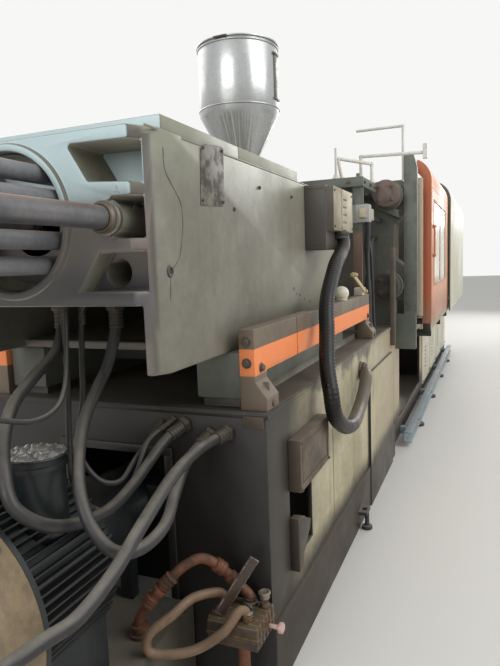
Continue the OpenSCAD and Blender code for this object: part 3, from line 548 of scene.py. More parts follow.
def weathering_group():
    """Clouding, fine grain, runs, chips, worn edges and settled dust on a surface; the dust mask also carries
    a painted highlight on tops
    """
    tree, given, result = new_group(
        "Weathering", [("Scale", 1.0), ("Edge width", 0.006)],
        ["Cloud", "Fine", "Runs", "Chips", "Edge", "Dust", "Height"])
    place = object_place(tree)

    def noise(size, detail, vector=place, rough=0.6):
        made = put(tree, "ShaderNodeTexNoise", links={"Vector": vector}, Detail=detail, Roughness=rough)
        tree.links.new(sum_up(tree, "MULTIPLY", given["Scale"], size, False), made.inputs["Scale"])
        return made.outputs["Fac"]

    def product(a, b):
        return sum_up(tree, "MULTIPLY", a, b)

    cloud, fine = noise(2.2, 6, rough=0.65), noise(30, 5)
    tall = put(tree, "ShaderNodeVectorMath", {"operation": "MULTIPLY"}, {0: place})
    tall.inputs[1].default_value = (11, 11, 0.8)
    chips = spread(tree, noise(16, 8, rough=0.75), 0.635, 0.66)
    facing = put(tree, "ShaderNodeNewGeometry").outputs["Normal"]
    round_edge = put(tree, "ShaderNodeBevel", {"samples": 4}, {"Radius": given["Edge width"]})
    likeness = put(tree, "ShaderNodeVectorMath", {"operation": "DOT_PRODUCT"},
                   {0: facing, 1: round_edge.outputs["Normal"]})
    corner = spread(tree, likeness.outputs["Value"], 0.985, 0.9)
    broken = spread(tree, noise(9, 6, rough=0.7), 0.4, 0.6)
    up = put(tree, "ShaderNodeSeparateXYZ", links={0: facing}).outputs["Z"]
    height = sum_up(tree, "ADD", product(cloud, 0.5), product(fine, 0.3))
    for label, value in (
            ("Cloud", cloud), ("Fine", fine), ("Chips", chips), ("Edge", product(corner, broken)),
            ("Runs", spread(tree, noise(1, 4, tall.outputs[0]), 0.5, 0.78)),
            ("Dust", product(spread(tree, up, 0.35, 0.95), spread(tree, cloud, 0.25, 0.75, 0.35, 1))),
            ("Height", sum_up(tree, "SUBTRACT", height, product(chips, 0.3)))):
        tree.links.new(value, result[label])
    return tree


def zone_group():
    """A soft-edged band between two places along one direction, broken up by noise"""
    tree, given, result = new_group(
        "Zone", [("Place", 0.0), ("From", 0.0), ("To", 1.0), ("Ragged", 0.1), ("Scale", 3.0)], ["Mask"])
    noise = put(tree, "ShaderNodeTexNoise", links={"Vector": object_place(tree), "Scale": given["Scale"]},
                Detail=6, Roughness=0.65).outputs["Fac"]
    shift = sum_up(tree, "MULTIPLY", sum_up(tree, "SUBTRACT", noise, 0.5), given["Ragged"], False)
    moved = sum_up(tree, "ADD", given["Place"], shift, False)
    made = put(tree, "ShaderNodeMapRange", {"interpolation_type": "SMOOTHSTEP"},
               {"Value": moved, "From Min": given["From"], "From Max": given["To"]})
    tree.links.new(made.outputs[0], result["Mask"])
    return tree


GROUPS = {}


def group_node(tree, kind, **values):
    if kind not in GROUPS:
        GROUPS[kind] = {"Weathering": weathering_group, "Zone": zone_group}[kind]()
    return put(tree, "ShaderNodeGroup", {"node_tree": GROUPS[kind]}, **values)


def zone_colours(tree, colour, zones):
    """Lay zones over a colour: (direction, from, to, raggedness, colour, strength), where nx means the
    normal's x, each with any further (direction, from, to) that limit it"""
    vectors = object_place(tree), put(tree, "ShaderNodeNewGeometry").outputs["Normal"]
    place, normal = [put(tree, "ShaderNodeSeparateXYZ", links={0: vector}).outputs for vector in vectors]

    def band(direction, start, end, ragged=0.0):
        source = normal[direction[1].upper()] if direction[0] == "n" else place[direction.upper()]
        zone = group_node(tree, "Zone", From=start, To=end, Ragged=ragged)
        tree.links.new(source, zone.inputs["Place"])
        return zone.outputs["Mask"]

    for direction, start, end, ragged, tint, strength, *limits in zones:
        mask = sum_up(tree, "MULTIPLY", band(direction, start, end, ragged), strength)
        for limit in limits:
            mask = sum_up(tree, "MULTIPLY", mask, band(*limit))
        colour = blend_colour(tree, mask, colour, tone(tint))
    return colour


def surface(name, base, shade, grime="grime", worn="primer", dust=(150, 142, 126), cloudy=0.6, runs=0.25,
            chips=0.5, edges=0.7, dust_and_highlight=0.25, rough=0.5, metal=0.0, worn_metal=0.0, coat=0.0, bump=0.25,
            depth=0.002, scale=1.0, edge_width=0.006, shine=0.5, zones=()):
    """A weathered surface: clouds of shade, grime in its runs, zones that on some finishes are painted light
    and shade, dust on top that on some finishes is partly a painted highlight, and worn edges
    """
    material, tree, shader = new_material(name)
    wear = group_node(tree, "Weathering", Scale=scale, Edge_width=edge_width).outputs

    def part(label, amount):
        return sum_up(tree, "MULTIPLY", wear[label], amount)

    half = 0.15 / max(cloudy, 0.05)
    colour = blend_colour(tree, spread(tree, wear["Cloud"], *about(0.5, half)), tone(base), tone(shade))
    colour = blend_colour(tree, spread(tree, wear["Fine"], 0.3, 0.7, 0.0, 0.16), colour, tone(grime))
    colour = blend_colour(tree, part("Runs", runs), colour, tone(grime))
    if zones:
        colour = zone_colours(tree, colour, zones)
    # Dust on faces that look up; on the rods, guide bars and hoses it is partly a painted highlight
    colour = blend_colour(tree, part("Dust", dust_and_highlight), colour, tone(dust))
    bare = sum_up(tree, "MAXIMUM", part("Edge", edges), part("Chips", chips))
    colour = blend_colour(tree, bare, colour, tone(worn))
    gloss = spread(tree, wear["Cloud"], 0.3, 0.7, max(rough - 0.1, 0.04), min(rough + 0.12, 1))
    gloss = sum_up(tree, "ADD", gloss, part("Dust", 0.2 * min(dust_and_highlight * 2, 1)))
    relief = put(tree, "ShaderNodeBump", links={"Height": wear["Height"]}, Strength=bump, Distance=depth)
    metallic = sum_up(tree, "MULTIPLY", bare, worn_metal) if worn_metal > metal else metal
    for socket, value in (("Base Color", colour), ("Roughness", gloss), ("Metallic", metallic),
                          ("Coat Weight", coat), ("Specular IOR Level", shine),
                          ("Normal", relief.outputs[0])):
        feed(tree, shader.inputs[socket], value)
    return material


# Finishes as settings of surface(); a colour is display values or the name of a colour property
FINISHES = {
    "housing_paint": dict(base="housing", shade=(112, 110, 97), worn=(88, 82, 72), cloudy=1.2, runs=0.3,
        # The first zone is painted light: the side grows lighter towards its front end, where more light
        # falls. The next two make the paint lighter towards the top and darker towards the bottom
        chips=0.35, rough=0.4, bump=0.2, zones=[("x", -2.9, -1.9, 0.7, (152, 148, 130), 0.6),
        ("z", 1.66, 1.8, 0.35, (142, 145, 122), 0.45), ("z", 1.25, 1.08, 0.1, (96, 91, 82), 0.45),
        # Painted shade on the chamfer between the rear face and the side, which lies in shade; painted light
        # in the casting colour on the lit faces that look towards the rear
        ("nx", -0.42, -0.5, 0.02, (86, 82, 75), 1), ("nx", -0.6, -0.9, 0.1, "casting", 0.9),
        # Lower down, the faces that look towards the rear turn darker and browner, with one paler band; the
        # lower housing darkens and faces that look down are paler
        ("z", 1.68, 1.56, 0.1, (112, 100, 92), 0.9, ("nx", -0.5, -0.6)),
        ("z", 1.5, 1.4, 0.12, (84, 84, 87), 0.85, ("nx", -0.5, -0.6)),
        ("z", 1.27, 1.24, 0.05, (128, 116, 106), 0.7, ("nx", -0.5, -0.6)),
        ("z", 1.42, 1.2, 0.15, (104, 99, 91), 0.35), ("nz", -0.6, -0.9, 0.1, (186, 178, 166), 0.7)]),
    # The bed grows darker towards its near end, in a band along its top, on faces that look up and near the
    # floor, and its end face is near black
    "bed_paint": dict(base="bed", shade=(158, 149, 120), cloudy=1.1, runs=0.45, chips=0.35, rough=0.48,
        zones=[("x", -2.35, -3.1, 0.9, (76, 71, 60), 0.88), ("x", -2.78, -2.93, 0.1, (46, 42, 36), 0.94),
        ("z", 0.91, 0.96, 0.35, (48, 45, 37), 0.75), ("x", -1.5, -0.9, 0.4, (160, 146, 119), 0.85),
        ("z", 0.36, 0.24, 0.12, (44, 35, 26), 0.96), ("nz", 0.6, 0.9, 0.1, (40, 37, 32), 0.92),
        ("nx", -0.4, -0.9, 0.55, (33, 30, 27), 0.985),
        ("z", 0.96, 0.7, 0.5, (24, 22, 20), 0.6, ("nx", -0.5, -0.8))]),
    "cover_paint": dict(base=(93, 79, 64), shade=(70, 60, 48), worn=(112, 74, 47), cloudy=1.2, runs=0.5,
        chips=0.6, edges=1, rough=0.55, scale=3, zones=[("nx", -0.6, -0.9, 0.1, (70, 62, 53), 0.7),
        ("z", 0.6, 0.52, 0.05, (50, 43, 34), 0.9)]),
    "casting_grey": dict(base="iron", shade=(84, 86, 78), worn=(120, 116, 108), worn_metal=0.6, runs=0.3,
        chips=0.3, rough=0.45, bump=0.4, depth=0.003),
    "guard_two_tone": dict(base="guard", shade=(97, 83, 67), worn=(74, 62, 52), runs=0.2, chips=0.35,
        edges=0.8, scale=1.6, zones=[("z", 1.1766, 1.1746, 0.003, "band", 0.97),
        ("z", 1.089, 1.0855, 0.002, "guard", 1), ("z", 1.11, 1.06, 0.1, (92, 82, 70), 0.35)]),
    "orange_paint": dict(base="orange", shade=(214, 148, 110), worn=(150, 88, 62), runs=0.18, chips=0.2,
        edges=0.45, rough=0.4, scale=0.7, zones=[("nx", -0.6, -0.9, 0.1, (176, 92, 58), 0.9),
        ("z", 1.19, 1, 0.1, (158, 112, 90), 0.75)]),
    "cream_paint": dict(base="cream", shade=(206, 204, 182), worn=(120, 112, 98), runs=0.15, chips=0.12,
        edges=0.4, rough=0.4, scale=0.7, zones=[("z", 1.2, 0.7, 0.3, (176, 168, 144), 0.5),
        ("nx", -0.5, -0.8, 0, (80, 86, 76), 0.95, ("x", 1.5, 1.51))]),
    "column_paint": dict(base="column", shade=(88, 94, 86), worn=(70, 64, 56), chips=0.4,
        zones=[("x", -0.3006, -0.3, 0, (192, 176, 154), 0.95), ("x", -0.287, -0.2864, 0, "column", 0.95)]),
    "junction_paint": dict(base=(143, 132, 103), shade=(128, 118, 92), chips=0.3, scale=2,
        zones=[("y", -0.5515, -0.5505, 0, (76, 70, 65), 1), ("x", -2.0302, -2.0298, 0, (143, 132, 103), 1),
        # The last zone is partly real paint and partly painted shade: faces that look towards the rear take
        # the dark part's colour, its own paint on the dark part and painted shade on the cream part's end
        ("nx", -0.6, -0.9, 0, (76, 70, 65), 1)]),
    "dark_paint": dict(base=(58, 56, 52), shade=(42, 41, 39), worn=(98, 92, 84), worn_metal=0.5,
        chips=0.35, dust_and_highlight=0.5, scale=2),
    "base_paint": dict(base="base", shade=(134, 148, 156), worn=(104, 80, 60), runs=0.3, rough=0.45,
        scale=1.5),
    "motor_paint": dict(base="motor", shade=(13, 20, 23), worn=(58, 56, 52), chips=0.15, edges=0.35,
        dust_and_highlight=0.3, dust=(66, 61, 53), rough=0.42, scale=2),
    "cowl_paint": dict(base="cowl", shade=(112, 97, 74), worn=(74, 63, 50), chips=0.4, dust_and_highlight=0.4,
        dust=(166, 148, 118), cloudy=1.3, runs=0.45, rough=0.6, scale=2.2,
        zones=[("z", 0.42, 0.3, 0.15, (84, 72, 56), 0.55)]),
    "pipe_rust": dict(base="rust", shade=(58, 37, 25), worn=(152, 94, 56), cloudy=1.4, chips=0.6,
        edges=0.45, dust_and_highlight=0.1, rough=0.62, bump=0.6, depth=0.003, scale=6),
    "greasy_brass": dict(base=(104, 74, 44), shade=(66, 48, 32), worn=(170, 138, 92), metal=0.35,
        chips=0.6, edges=0.8, rough=0.45, bump=0.4, scale=8, edge_width=0.003),
    "greasy_block": dict(base=(78, 58, 36), shade=(46, 38, 28), worn=(140, 104, 62), cloudy=1.3, runs=0.7,
        chips=0.6, rough=0.4, bump=0.5, scale=6),
    "oiled_steel": dict(base=(176, 174, 168), shade=(150, 147, 140), worn=(196, 194, 188),
        grime=(70, 62, 50), metal=0.9, runs=0.1, chips=0.05, rough=0.27, bump=0.08, scale=3),
    # On the guide bars and rods the pale brownish colour on top is partly dust and partly a painted highlight
    # along their tops
    "guide_steel": dict(base=(148, 147, 148), shade=(112, 116, 122), worn=(128, 112, 96),
        grime=(52, 49, 46), metal=0.25, runs=0.1, chips=0.15, dust_and_highlight=0.5, dust=(146, 124, 104), rough=0.42,
        bump=0.12, scale=3),
    "rod_steel": dict(base=(126, 124, 125), shade=(92, 94, 99), worn=(160, 146, 130), grime=(52, 46, 40),
        metal=0.5, runs=0.1, chips=0.12, dust_and_highlight=0.75, dust=(152, 122, 98), rough=0.38, bump=0.1, scale=3),
    "bolt_steel": dict(base=(112, 104, 92), shade=(80, 72, 62), worn=(140, 132, 120), metal=0.6, scale=8,
        edge_width=0.002),
    "greasy_fitting": dict(base=(74, 68, 60), shade=(50, 46, 42), worn=(112, 102, 88), metal=0.35,
        chips=0.4, dust_and_highlight=0.4, rough=0.45, bump=0.3, scale=8, edge_width=0.002),
    "chrome_steel": dict(base=(206, 206, 204), shade=(190, 190, 190), worn=(210, 210, 208),
        grime=(110, 104, 94), metal=1, runs=0.04, chips=0.02, dust_and_highlight=0.08, rough=0.14, bump=0.03, scale=3),
    "heated_steel": dict(base=(98, 92, 86), shade=(84, 72, 62), worn=(130, 120, 108), metal=0.7, chips=0.4,
        scale=4),
    "sheet_steel": dict(base=(184, 186, 186), shade=(168, 170, 170), worn=(200, 200, 200),
        grime=(120, 116, 106), metal=0.85, runs=0.15, chips=0.06, rough=0.32, bump=0.06, scale=2),
    "strap_steel": dict(base=(160, 154, 144), shade=(140, 128, 110), worn=(190, 186, 178), metal=0.8,
        chips=0.2, rough=0.4, scale=4),
    "white_enamel": dict(base=(226, 224, 216), shade=(206, 202, 190), worn=(130, 112, 92), chips=0.35,
        edges=0.5, rough=0.35, scale=4),
    "brown_bar": dict(base=(98, 89, 76), shade=(80, 72, 62), worn=(126, 104, 82), chips=0.6, rough=0.6,
        scale=3),
    "cap_paint": dict(base=(118, 101, 91), shade=(98, 84, 76), worn=(78, 68, 60), chips=0.4, scale=4,
        zones=[("z", 1.5, 1.35, 0.05, (58, 52, 47), 0.9)]),
    "film_sheet": dict(base=(186, 184, 178), shade=(120, 118, 113), worn=(214, 212, 206),
        grime=(92, 88, 80), cloudy=1.4, metal=0.35, dust_and_highlight=0.1, rough=0.22, bump=0.3, scale=14),
    "window_frame_paint": dict(base=(204, 160, 126), shade=(186, 140, 108), worn=(140, 96, 72), chips=0.3,
        edges=0.5, rough=0.4, scale=3),
    "beige_paint": dict(base=(196, 184, 158), shade=(176, 164, 138), worn=(120, 104, 84), chips=0.3,
        rough=0.45, scale=4),
    "yellow_paint": dict(base=(200, 184, 138), shade=(180, 162, 116), worn=(120, 100, 74), rough=0.45,
        scale=5),
    # On hoses, leads and glands the pale colour on top is partly dust and partly a painted highlight over the
    # dark rubber
    "hose_rubber": dict(base="rubber", shade=(42, 41, 42), worn=(96, 90, 84), cloudy=1.2, chips=0.3,
        edges=0, dust_and_highlight=0.8, dust=(138, 133, 122), shine=0.35, rough=0.42, bump=0.2, depth=0.001, scale=5),
    "conduit_rubber": dict(base="conduit", shade=(13, 13, 12), worn=(48, 45, 41), chips=0.08, edges=0,
        dust_and_highlight=0.12, dust=(84, 78, 70), rough=0.34, shine=0.3, scale=4, edge_width=0.002,
        zones=[("x", -2.36, -2.2, 0.05, (122, 112, 96), 0.55), ("z", 0.86, 0.95, 0.03, "conduit", 0.9)]),
    "brown_rubber": dict(base="hose", shade=(104, 81, 60), worn=(104, 84, 66), chips=0.4, edges=0,
        rough=0.55, bump=0.2, depth=0.001, scale=6),
    "foot_rubber": dict(base=(44, 43, 42), shade=(58, 56, 53), worn=(84, 80, 74), chips=0.2, dust_and_highlight=0.5,
        rough=0.7, scale=5),
    "scraped_place": dict(base=(112, 108, 96), shade=(58, 54, 48), worn=(168, 164, 146), cloudy=1.8,
        chips=0.9, runs=0.5, rough=0.55, bump=0.8, scale=9, edge_width=0.001),
    "crack_line": dict(base=(88, 80, 68), shade=(112, 104, 88), chips=0.6, rough=0.7, scale=12),
    "platform_paint": dict(base=(104, 108, 98), shade=(84, 86, 78), runs=0.4, chips=0.4, scale=2,
        zones=[("z", 1.64, 1.6, 0.04, (142, 114, 97), 0.8), ("z", 1.27, 1.22, 0.04, (100, 102, 93), 1),
        ("z", 1.6795, 1.6802, 0, (158, 158, 150), 1), ("z", 1.7895, 1.7905, 0, (92, 96, 87), 1),
        ("y", 0, 0.1, 0, (92, 96, 87), 1)]),
    "base_frame_paint": dict(base=(92, 88, 78), shade=(70, 64, 54), runs=0.5, chips=0.6, rough=0.6,
        scale=2, zones=[("z", 0.2, 0.02, 0.15, (70, 58, 46), 0.7)]),
    "plate_rust": dict(base=(66, 48, 40), shade=(44, 36, 32), worn=(190, 174, 156), chips=0.3, edges=1,
        bump=0.4, scale=5),
}
# Smooth plastics and enamels: colour and its darker shade
PLASTICS = {
    "plug_plastic": ((70, 60, 52), (54, 48, 42)),
    "sight_plastic": ((96, 92, 78), (74, 70, 60)),
    "pink_plastic": ((222, 190, 180), (196, 156, 146)),
    "oil_cup_enamel": ((228, 224, 206), (206, 198, 172)),
    "screen_glass": ((28, 34, 36), (38, 44, 46)),
    "key_plastic": ((196, 194, 184), (170, 168, 158)),
    "emergency_stop_plastic": ((200, 36, 28), (160, 28.8, 22.4)),
    "start_button_plastic": ((34, 140, 66), (27.2, 112, 52.8)),
}


def finish(look):
    """The material of a finish, made when it is first asked for"""
    if isinstance(look, bpy.types.Material):
        return look
    if look not in bpy.data.materials:
        if look in PLASTICS:
            base, shade = PLASTICS[look]
            surface(look, base, shade, worn=shade, runs=0.05, chips=0.08, edges=0.2, dust_and_highlight=0.15,
                    rough=0.35, coat=0.2, bump=0.05, scale=6.0, edge_width=0.002)
        else:
            surface(look, **FINISHES[look])
    return bpy.data.materials[look]


def milky_sheet():
    """The door's yellowed, clouded window"""
    material, tree, shader = new_material("milky_sheet")
    wear = group_node(tree, "Weathering", Scale=1.2).outputs
    cloud = spread(tree, wear["Cloud"], 0.3, 0.75)
    tint = blend_colour(tree, cloud, light(238, 234, 214), light(206, 196, 166))
    tint = blend_colour(tree, sum_up(tree, "MULTIPLY", wear["Runs"], 0.35), tint, light(172, 158, 130))
    gloss = spread(tree, wear["Cloud"], 0.3, 0.8, 0.12, 0.34)
    for socket, value in (("Base Color", tint), ("Roughness", gloss), ("Transmission Weight", 0.3),
                          ("IOR", 1.4)):
        feed(tree, shader.inputs[socket], value)
    return material


# Stage
class MACHINE_OT_stage(Operator):
    """Floor, soft light and the camera at the photograph's place"""

    bl_idname = "machine.stage"
    bl_label = "Stage"

    def execute(self, context):
        context.scene.view_settings.view_transform = "Standard"
        self.camera(context.scene)
        self.floor()
        self.world(context.scene)
        self.lamps(context.scene)
        return {"FINISHED"}

    def camera(self, scene):
        focal_pixels, long_side = 580, 666
        right = Vector((0.38213533, -0.92343472, -0.03522662))
        up = Vector((0.12316758, 0.01311553, 0.99229921))
        back = -Vector((0.91586153, 0.38353136, -0.11874913))
        data = bpy.data.cameras.new("camera")
        data.sensor_width = 36
        data.lens = focal_pixels / long_side * data.sensor_width
        data.clip_start = 0.05
        data.clip_end = 100
        camera = bpy.data.objects.new("camera", data)
        turn = Matrix((right, up, back)).transposed().to_4x4()
        camera.matrix_world = Matrix.Translation((-4.8, -1.25, 1.45)) @ turn
        scene.collection.objects.link(camera)
        scene.camera = camera

    def floor(self):
        bpy.ops.mesh.primitive_plane_add(size=80, location=(0, 0, -0.0005))
        floor = settle(bpy.context.object, "floor")
        material, tree, shader = new_material("floor")
        shader.inputs["Base Color"].default_value = (*colours().floor, 1)
        shader.inputs["Roughness"].default_value = 0.7
        floor.data.materials.append(material)

    def world(self, scene):
        """Pale surroundings to the eye and in reflections, softer as light"""
        world = bpy.data.worlds.new("studio")
        world.use_nodes = True
        tree = world.node_tree
        shade = tree.nodes["Background"]
        shade.inputs["Color"].default_value = (0.95, 0.97, 1, 1)
        shade.inputs["Strength"].default_value = 0.55
        seen = put(tree, "ShaderNodeBackground", Color=(0.93, 0.93, 0.92, 1), Strength=1.0)
        path = put(tree, "ShaderNodeLightPath").outputs
        direct = sum_up(tree, "MAXIMUM", path["Is Camera Ray"],
                        sum_up(tree, "MAXIMUM", path["Is Glossy Ray"], path["Is Transmission Ray"]))
        mixed = put(tree, "ShaderNodeMixShader", links={0: direct, 1: shade.outputs[0], 2: seen.outputs[0]})
        tree.links.new(mixed.outputs[0], tree.nodes["World Output"].inputs["Surface"])
        scene.world = world

    def lamps(self, scene):
        for name, place, target, size, power in (
                ("key", (-2.5, -6.5, 5.5), (-0.8, 0, 1.0), 6.0, 330),
                ("rear", (-9.5, 1.0, 4.0), (-3, 0, 1.3), 4.0, 210),
                ("far", (1.0, 6.5, 6.5), (0, 0, 1.0), 7.0, 300),
                ("end", (9.5, -2.5, 4.5), (2, 0, 1.2), 5.0, 260)):
            data = bpy.data.lights.new(name, "AREA")
            data.size = size
            data.energy = power
            lamp = bpy.data.objects.new(name, data)
            lamp.location = place
            lamp.rotation_euler = turned_to(Vector(place) - Vector(target)).to_euler()
            scene.collection.objects.link(lamp)


# Hoses: radius and route in metres, as the solids have them
HOSES = {
    "left_hose": (0.017, [
        (-3.4, -0.045, 1.35), (-3.405, -0.05, 1.28), (-3.45, -0.058, 1.21), (-3.55, -0.068, 1.16),
        (-3.66, -0.09, 1.105), (-3.75, -0.14, 1.04), (-3.805, -0.19, 0.97), (-3.82, -0.225, 0.905),
        (-3.77, -0.255, 0.845), (-3.67, -0.262, 0.8), (-3.52, -0.262, 0.775), (-3.36, -0.25, 0.8),
        (-3.21, -0.265, 0.88), (-3.12, -0.3, 0.92)]),
    "middle_hose": (0.017, [
        (-3.38, -0.23, 1.35), (-3.38, -0.225, 1.27), (-3.4, -0.205, 1.17), (-3.44, -0.195, 1.11),
        (-3.51, -0.2, 1.04), (-3.59, -0.235, 0.965), (-3.67, -0.295, 0.89), (-3.7, -0.35, 0.815),
        (-3.69, -0.405, 0.76), (-3.62, -0.438, 0.742), (-3.51, -0.44, 0.755), (-3.4, -0.412, 0.8),
        (-3.27, -0.385, 0.85), (-3.12, -0.39, 0.89)]),
    "thin_hose": (0.009, [
        (-3.44, -0.09, 1.35), (-3.44, -0.088, 1.23), (-3.44, -0.083, 1.085), (-3.44, -0.074, 0.94),
        (-3.45, -0.08, 0.84), (-3.445, -0.1, 0.765), (-3.415, -0.15, 0.715), (-3.37, -0.2, 0.73),
        (-3.3, -0.218, 0.81), (-3.22, -0.215, 0.885), (-3.12, -0.255, 0.93)]),
    "short_hose": (0.009, [
        (-3.37, -0.1, 1.35), (-3.375, -0.092, 1.2), (-3.385, -0.092, 1.06), (-3.405, -0.085, 0.96),
        (-3.41, -0.095, 0.87), (-3.39, -0.14, 0.8), (-3.34, -0.18, 0.785), (-3.26, -0.185, 0.83),
        (-3.12, -0.205, 0.92)]),
    "long_hose": (0.017, [
        (-4.1, -0.35, 0.26), (-4.105, -0.355, 0.4), (-4.11, -0.37, 0.56), (-4.085, -0.4, 0.69),
        (-4.0, -0.437, 0.722), (-3.9, -0.455, 0.722), (-3.79, -0.47, 0.765), (-3.66, -0.472, 0.83),
        (-3.47, -0.455, 0.885), (-3.28, -0.44, 0.898), (-3.12, -0.455, 0.9)]),
    "cable": (0.0065, [
        (-3.5, -0.147, 1.35), (-3.54, -0.175, 1.24), (-3.6, -0.212, 1.146), (-3.68, -0.245, 1.105),
        (-3.78, -0.257, 1.101), (-3.9, -0.245, 1.14), (-4.05, -0.225, 1.19), (-4.22, -0.21, 1.23),
        (-4.33, -0.202, 1.28), (-4.37, -0.2, 1.35)]),
    "water_hose": (0.015, [
        (-3.215, -0.47, 0.376), (-3.225, -0.45, 0.4), (-3.3, -0.395, 0.412), (-3.38, -0.365, 0.395),
        (-3.43, -0.31, 0.35), (-3.425, -0.315, 0.29), (-3.37, -0.42, 0.285), (-3.33, -0.51, 0.34),
        (-3.29, -0.55, 0.395), (-3.265, -0.565, 0.376)]),
    "platen_hose": (0.014, [
        (-0.5, -0.38, 0.973), (-0.505, -0.385, 1.1), (-0.52, -0.4, 1.26), (-0.52, -0.42, 1.42),
        (-0.48, -0.43, 1.54), (-0.41, -0.43, 1.6), (-0.35, -0.43, 1.61)]),
}
CONDUIT = [
    (-1.985, -0.566, 1.588), (-1.995, -0.583, 1.535), (-2.06, -0.59, 1.492), (-2.209, -0.594, 1.425),
    (-2.387, -0.602, 1.284), (-2.475, -0.622, 1.16), (-2.56, -0.644, 1.03), (-2.62, -0.674, 0.93),
    (-2.6, -0.682, 0.84), (-2.45, -0.682, 0.755), (-2.25, -0.674, 0.71), (-2.04, -0.655, 0.715),
    (-1.88, -0.648, 0.765), (-1.77, -0.64, 0.825), (-1.71, -0.62, 0.845), (-1.69, -0.593, 0.85)]
PIPE = [
    (-3.35, -0.226, 0.297), (-3.35, -0.226, 0.34), (-3.332, -0.262, 0.4), (-3.298, -0.322, 0.468),
    (-3.27, -0.36, 0.502), (-3.238, -0.402, 0.514), (-3.205, -0.445, 0.478), (-3.184, -0.482, 0.43),
    (-3.18, -0.52, 0.398), (-3.18, -0.54, 0.38)]
LEADS = [
    (0.011, [(-1.1, -0.52, 1.68), (-1.1, -0.52, 1.62), (-1.085, -0.51, 1.52), (-1.07, -0.515, 1.4),
             (-1.065, -0.53, 1.24), (-1.065, -0.53, 1.1), (-1.065, -0.535, 0.973)]),
    (0.011, [(-1.14, -0.54, 1.68), (-1.14, -0.54, 1.6), (-1.15, -0.535, 1.48), (-1.165, -0.54, 1.34),
             (-1.17, -0.545, 1.2), (-1.165, -0.545, 1.08), (-1.16, -0.54, 0.973)]),
    (0.009, [(-0.96, -0.5, 1.7), (-0.96, -0.5, 1.62), (-0.97, -0.52, 1.5), (-0.98, -0.53, 1.35),
             (-0.98, -0.535, 1.15), (-0.98, -0.54, 0.973)]),
]


def hose_skin(node, piece, look, heights=None, place=(0, 0)):
    """Look and body of a hose; given heights, its place goes into its mesh and it is given no body"""
    piece.data.materials.append(finish(look))
    if heights:
        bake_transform(piece)
    else:
        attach(piece, BODY_OF[node])
    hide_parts(node)


def hose_piece(node, first, last, look="hose_rubber", **bend):
    """One smooth hose along its route"""
    radius, points = HOSES[node]
    path = evenly(smooth_route(points), radius * 0.9)
    piece = swept(node + "_skin", path, lambda along: radius, 20, first, last)
    hose_skin(node, piece, look, **bend)
    return piece, path, radius, points


def fitted_hose(node, first, ends, **bend):
    """A hose with a crimped fitting at each end"""
    piece, path, radius, points = hose_piece(node, first, INTO_BED, **bend)
    for (label, body), spot, direction in zip(ends, (points[0], points[-1]), (first, path[-4] - path[-1])):
        fitting = hose_end(node + label, spot, direction, radius)
        keep(fitting, body, "greasy_fitting")


class MACHINE_OT_conduit(Operator):
    """Ribbed conduit from the junction box down to the bed"""

    bl_idname = "machine.conduit"
    bl_label = "Conduit"

    def execute(self, context):
        radius, pitch, depth = 0.033, sizes().rib_pitch, sizes().rib_depth
        plain = 0.045
        path = evenly(smooth_route(CONDUIT, 12), pitch / 4)

        def ribbed(along):
            wave = 0 if along < plain else depth / 2 * math.cos(2 * math.pi * along / pitch)
            return radius - depth / 2 + wave

        piece = swept("conduit_skin", path, ribbed, 24, DOWN, Y_AXIS)
        hose_skin("conduit", piece, "conduit_rubber", (0.98, 1.54), (-1.95, -0.5))
        mouth = lathe("conduit_mouth", [
            (0.0345, 0), (0.041, 0), (0.043, 0.003), (0.043, 0.016), (0.041, 0.019), (0.039, 0.022),
            (0.041, 0.025), (0.043, 0.028), (0.041, 0.034), (0.0345, 0.036), (0.0345, 0)],
            CONDUIT[0], DOWN, 40)
        keep(mouth, "carriage", "dark_paint")
        seat = lathe("conduit_seat", [
            (0.0345, 0), (0.05, 0), (0.05, 0.006), (0.044, 0.009), (0.043, 0.012), (0.045, 0.015),
            (0.045, 0.027), (0.042, 0.03), (0.0345, 0.031), (0.0345, 0)], CONDUIT[-1], -Y_AXIS, 40)
        keep(seat, "frame", "bolt_steel")
        return {"FINISHED"}


class MACHINE_OT_hoses(Operator):
    """Hydraulic hoses between the rear casting, the pump base and the bed"""

    bl_idname = "machine.hoses"
    bl_label = "Hydraulic hoses"

    def execute(self, context):
        for node in ("left_hose", "middle_hose", "thin_hose", "short_hose"):
            fitted_hose(node, DOWN, (("_top", "carriage"), ("_low", "frame")),
                        heights=(0.96, 1.3), place=(-3.4, -0.2))
        for node in ("long_hose", "platen_hose"):
            fitted_hose(node, UP, (("_low", "frame"), ("_top", "frame")))
        piece, path, radius, points = hose_piece("cable", DOWN, UP)
        glands = [keep(hose_end("cable_gland_" + label, spot, DOWN, radius), "carriage",
                       "hose_rubber") for label, spot in (("front", points[0]), ("rear", points[-1]))]
        return {"FINISHED"}


class MACHINE_OT_water_hose(Operator):
    """Brown hose loop at the valve block, held by two clamps"""

    bl_idname = "machine.water_hose"
    bl_label = "Water hose"

    def execute(self, context):
        piece, path, radius, points = hose_piece("water_hose", UP, DOWN, "brown_rubber")
        inner, outer = radius + 0.0005, radius + 0.0025
        for label, spot in (("a", points[0]), ("b", points[-1])):
            band = lathe("hose_clamp_" + label, [(inner, 0.001), (outer, 0.001), (outer, 0.011),
                                                 (inner, 0.011), (inner, 0.001)], spot, UP, 32)
            screw = plate("clamp_screw", Vector(spot) + Vector((radius, -0.006, 0.001)),
                          Vector(spot) + Vector((radius + 0.012, 0.006, 0.011)), 0.001)
            merged("hose_clamp_" + label, [band, screw], "frame", "strap_steel")
        return {"FINISHED"}


class MACHINE_OT_terminal_leads(Operator):
    """Three loose leads between the terminal boxes and the bed"""

    bl_idname = "machine.terminal_leads"
    bl_label = "Terminal leads"

    def execute(self, context):
        for i, (radius, route) in enumerate(LEADS):
            path = evenly(smooth_route(route), 0.012)
            lead = swept("terminal_lead_%d" % i, path, lambda along: radius, 16, DOWN, DOWN)
            keep(lead, "frame", "hose_rubber")
        return {"FINISHED"}


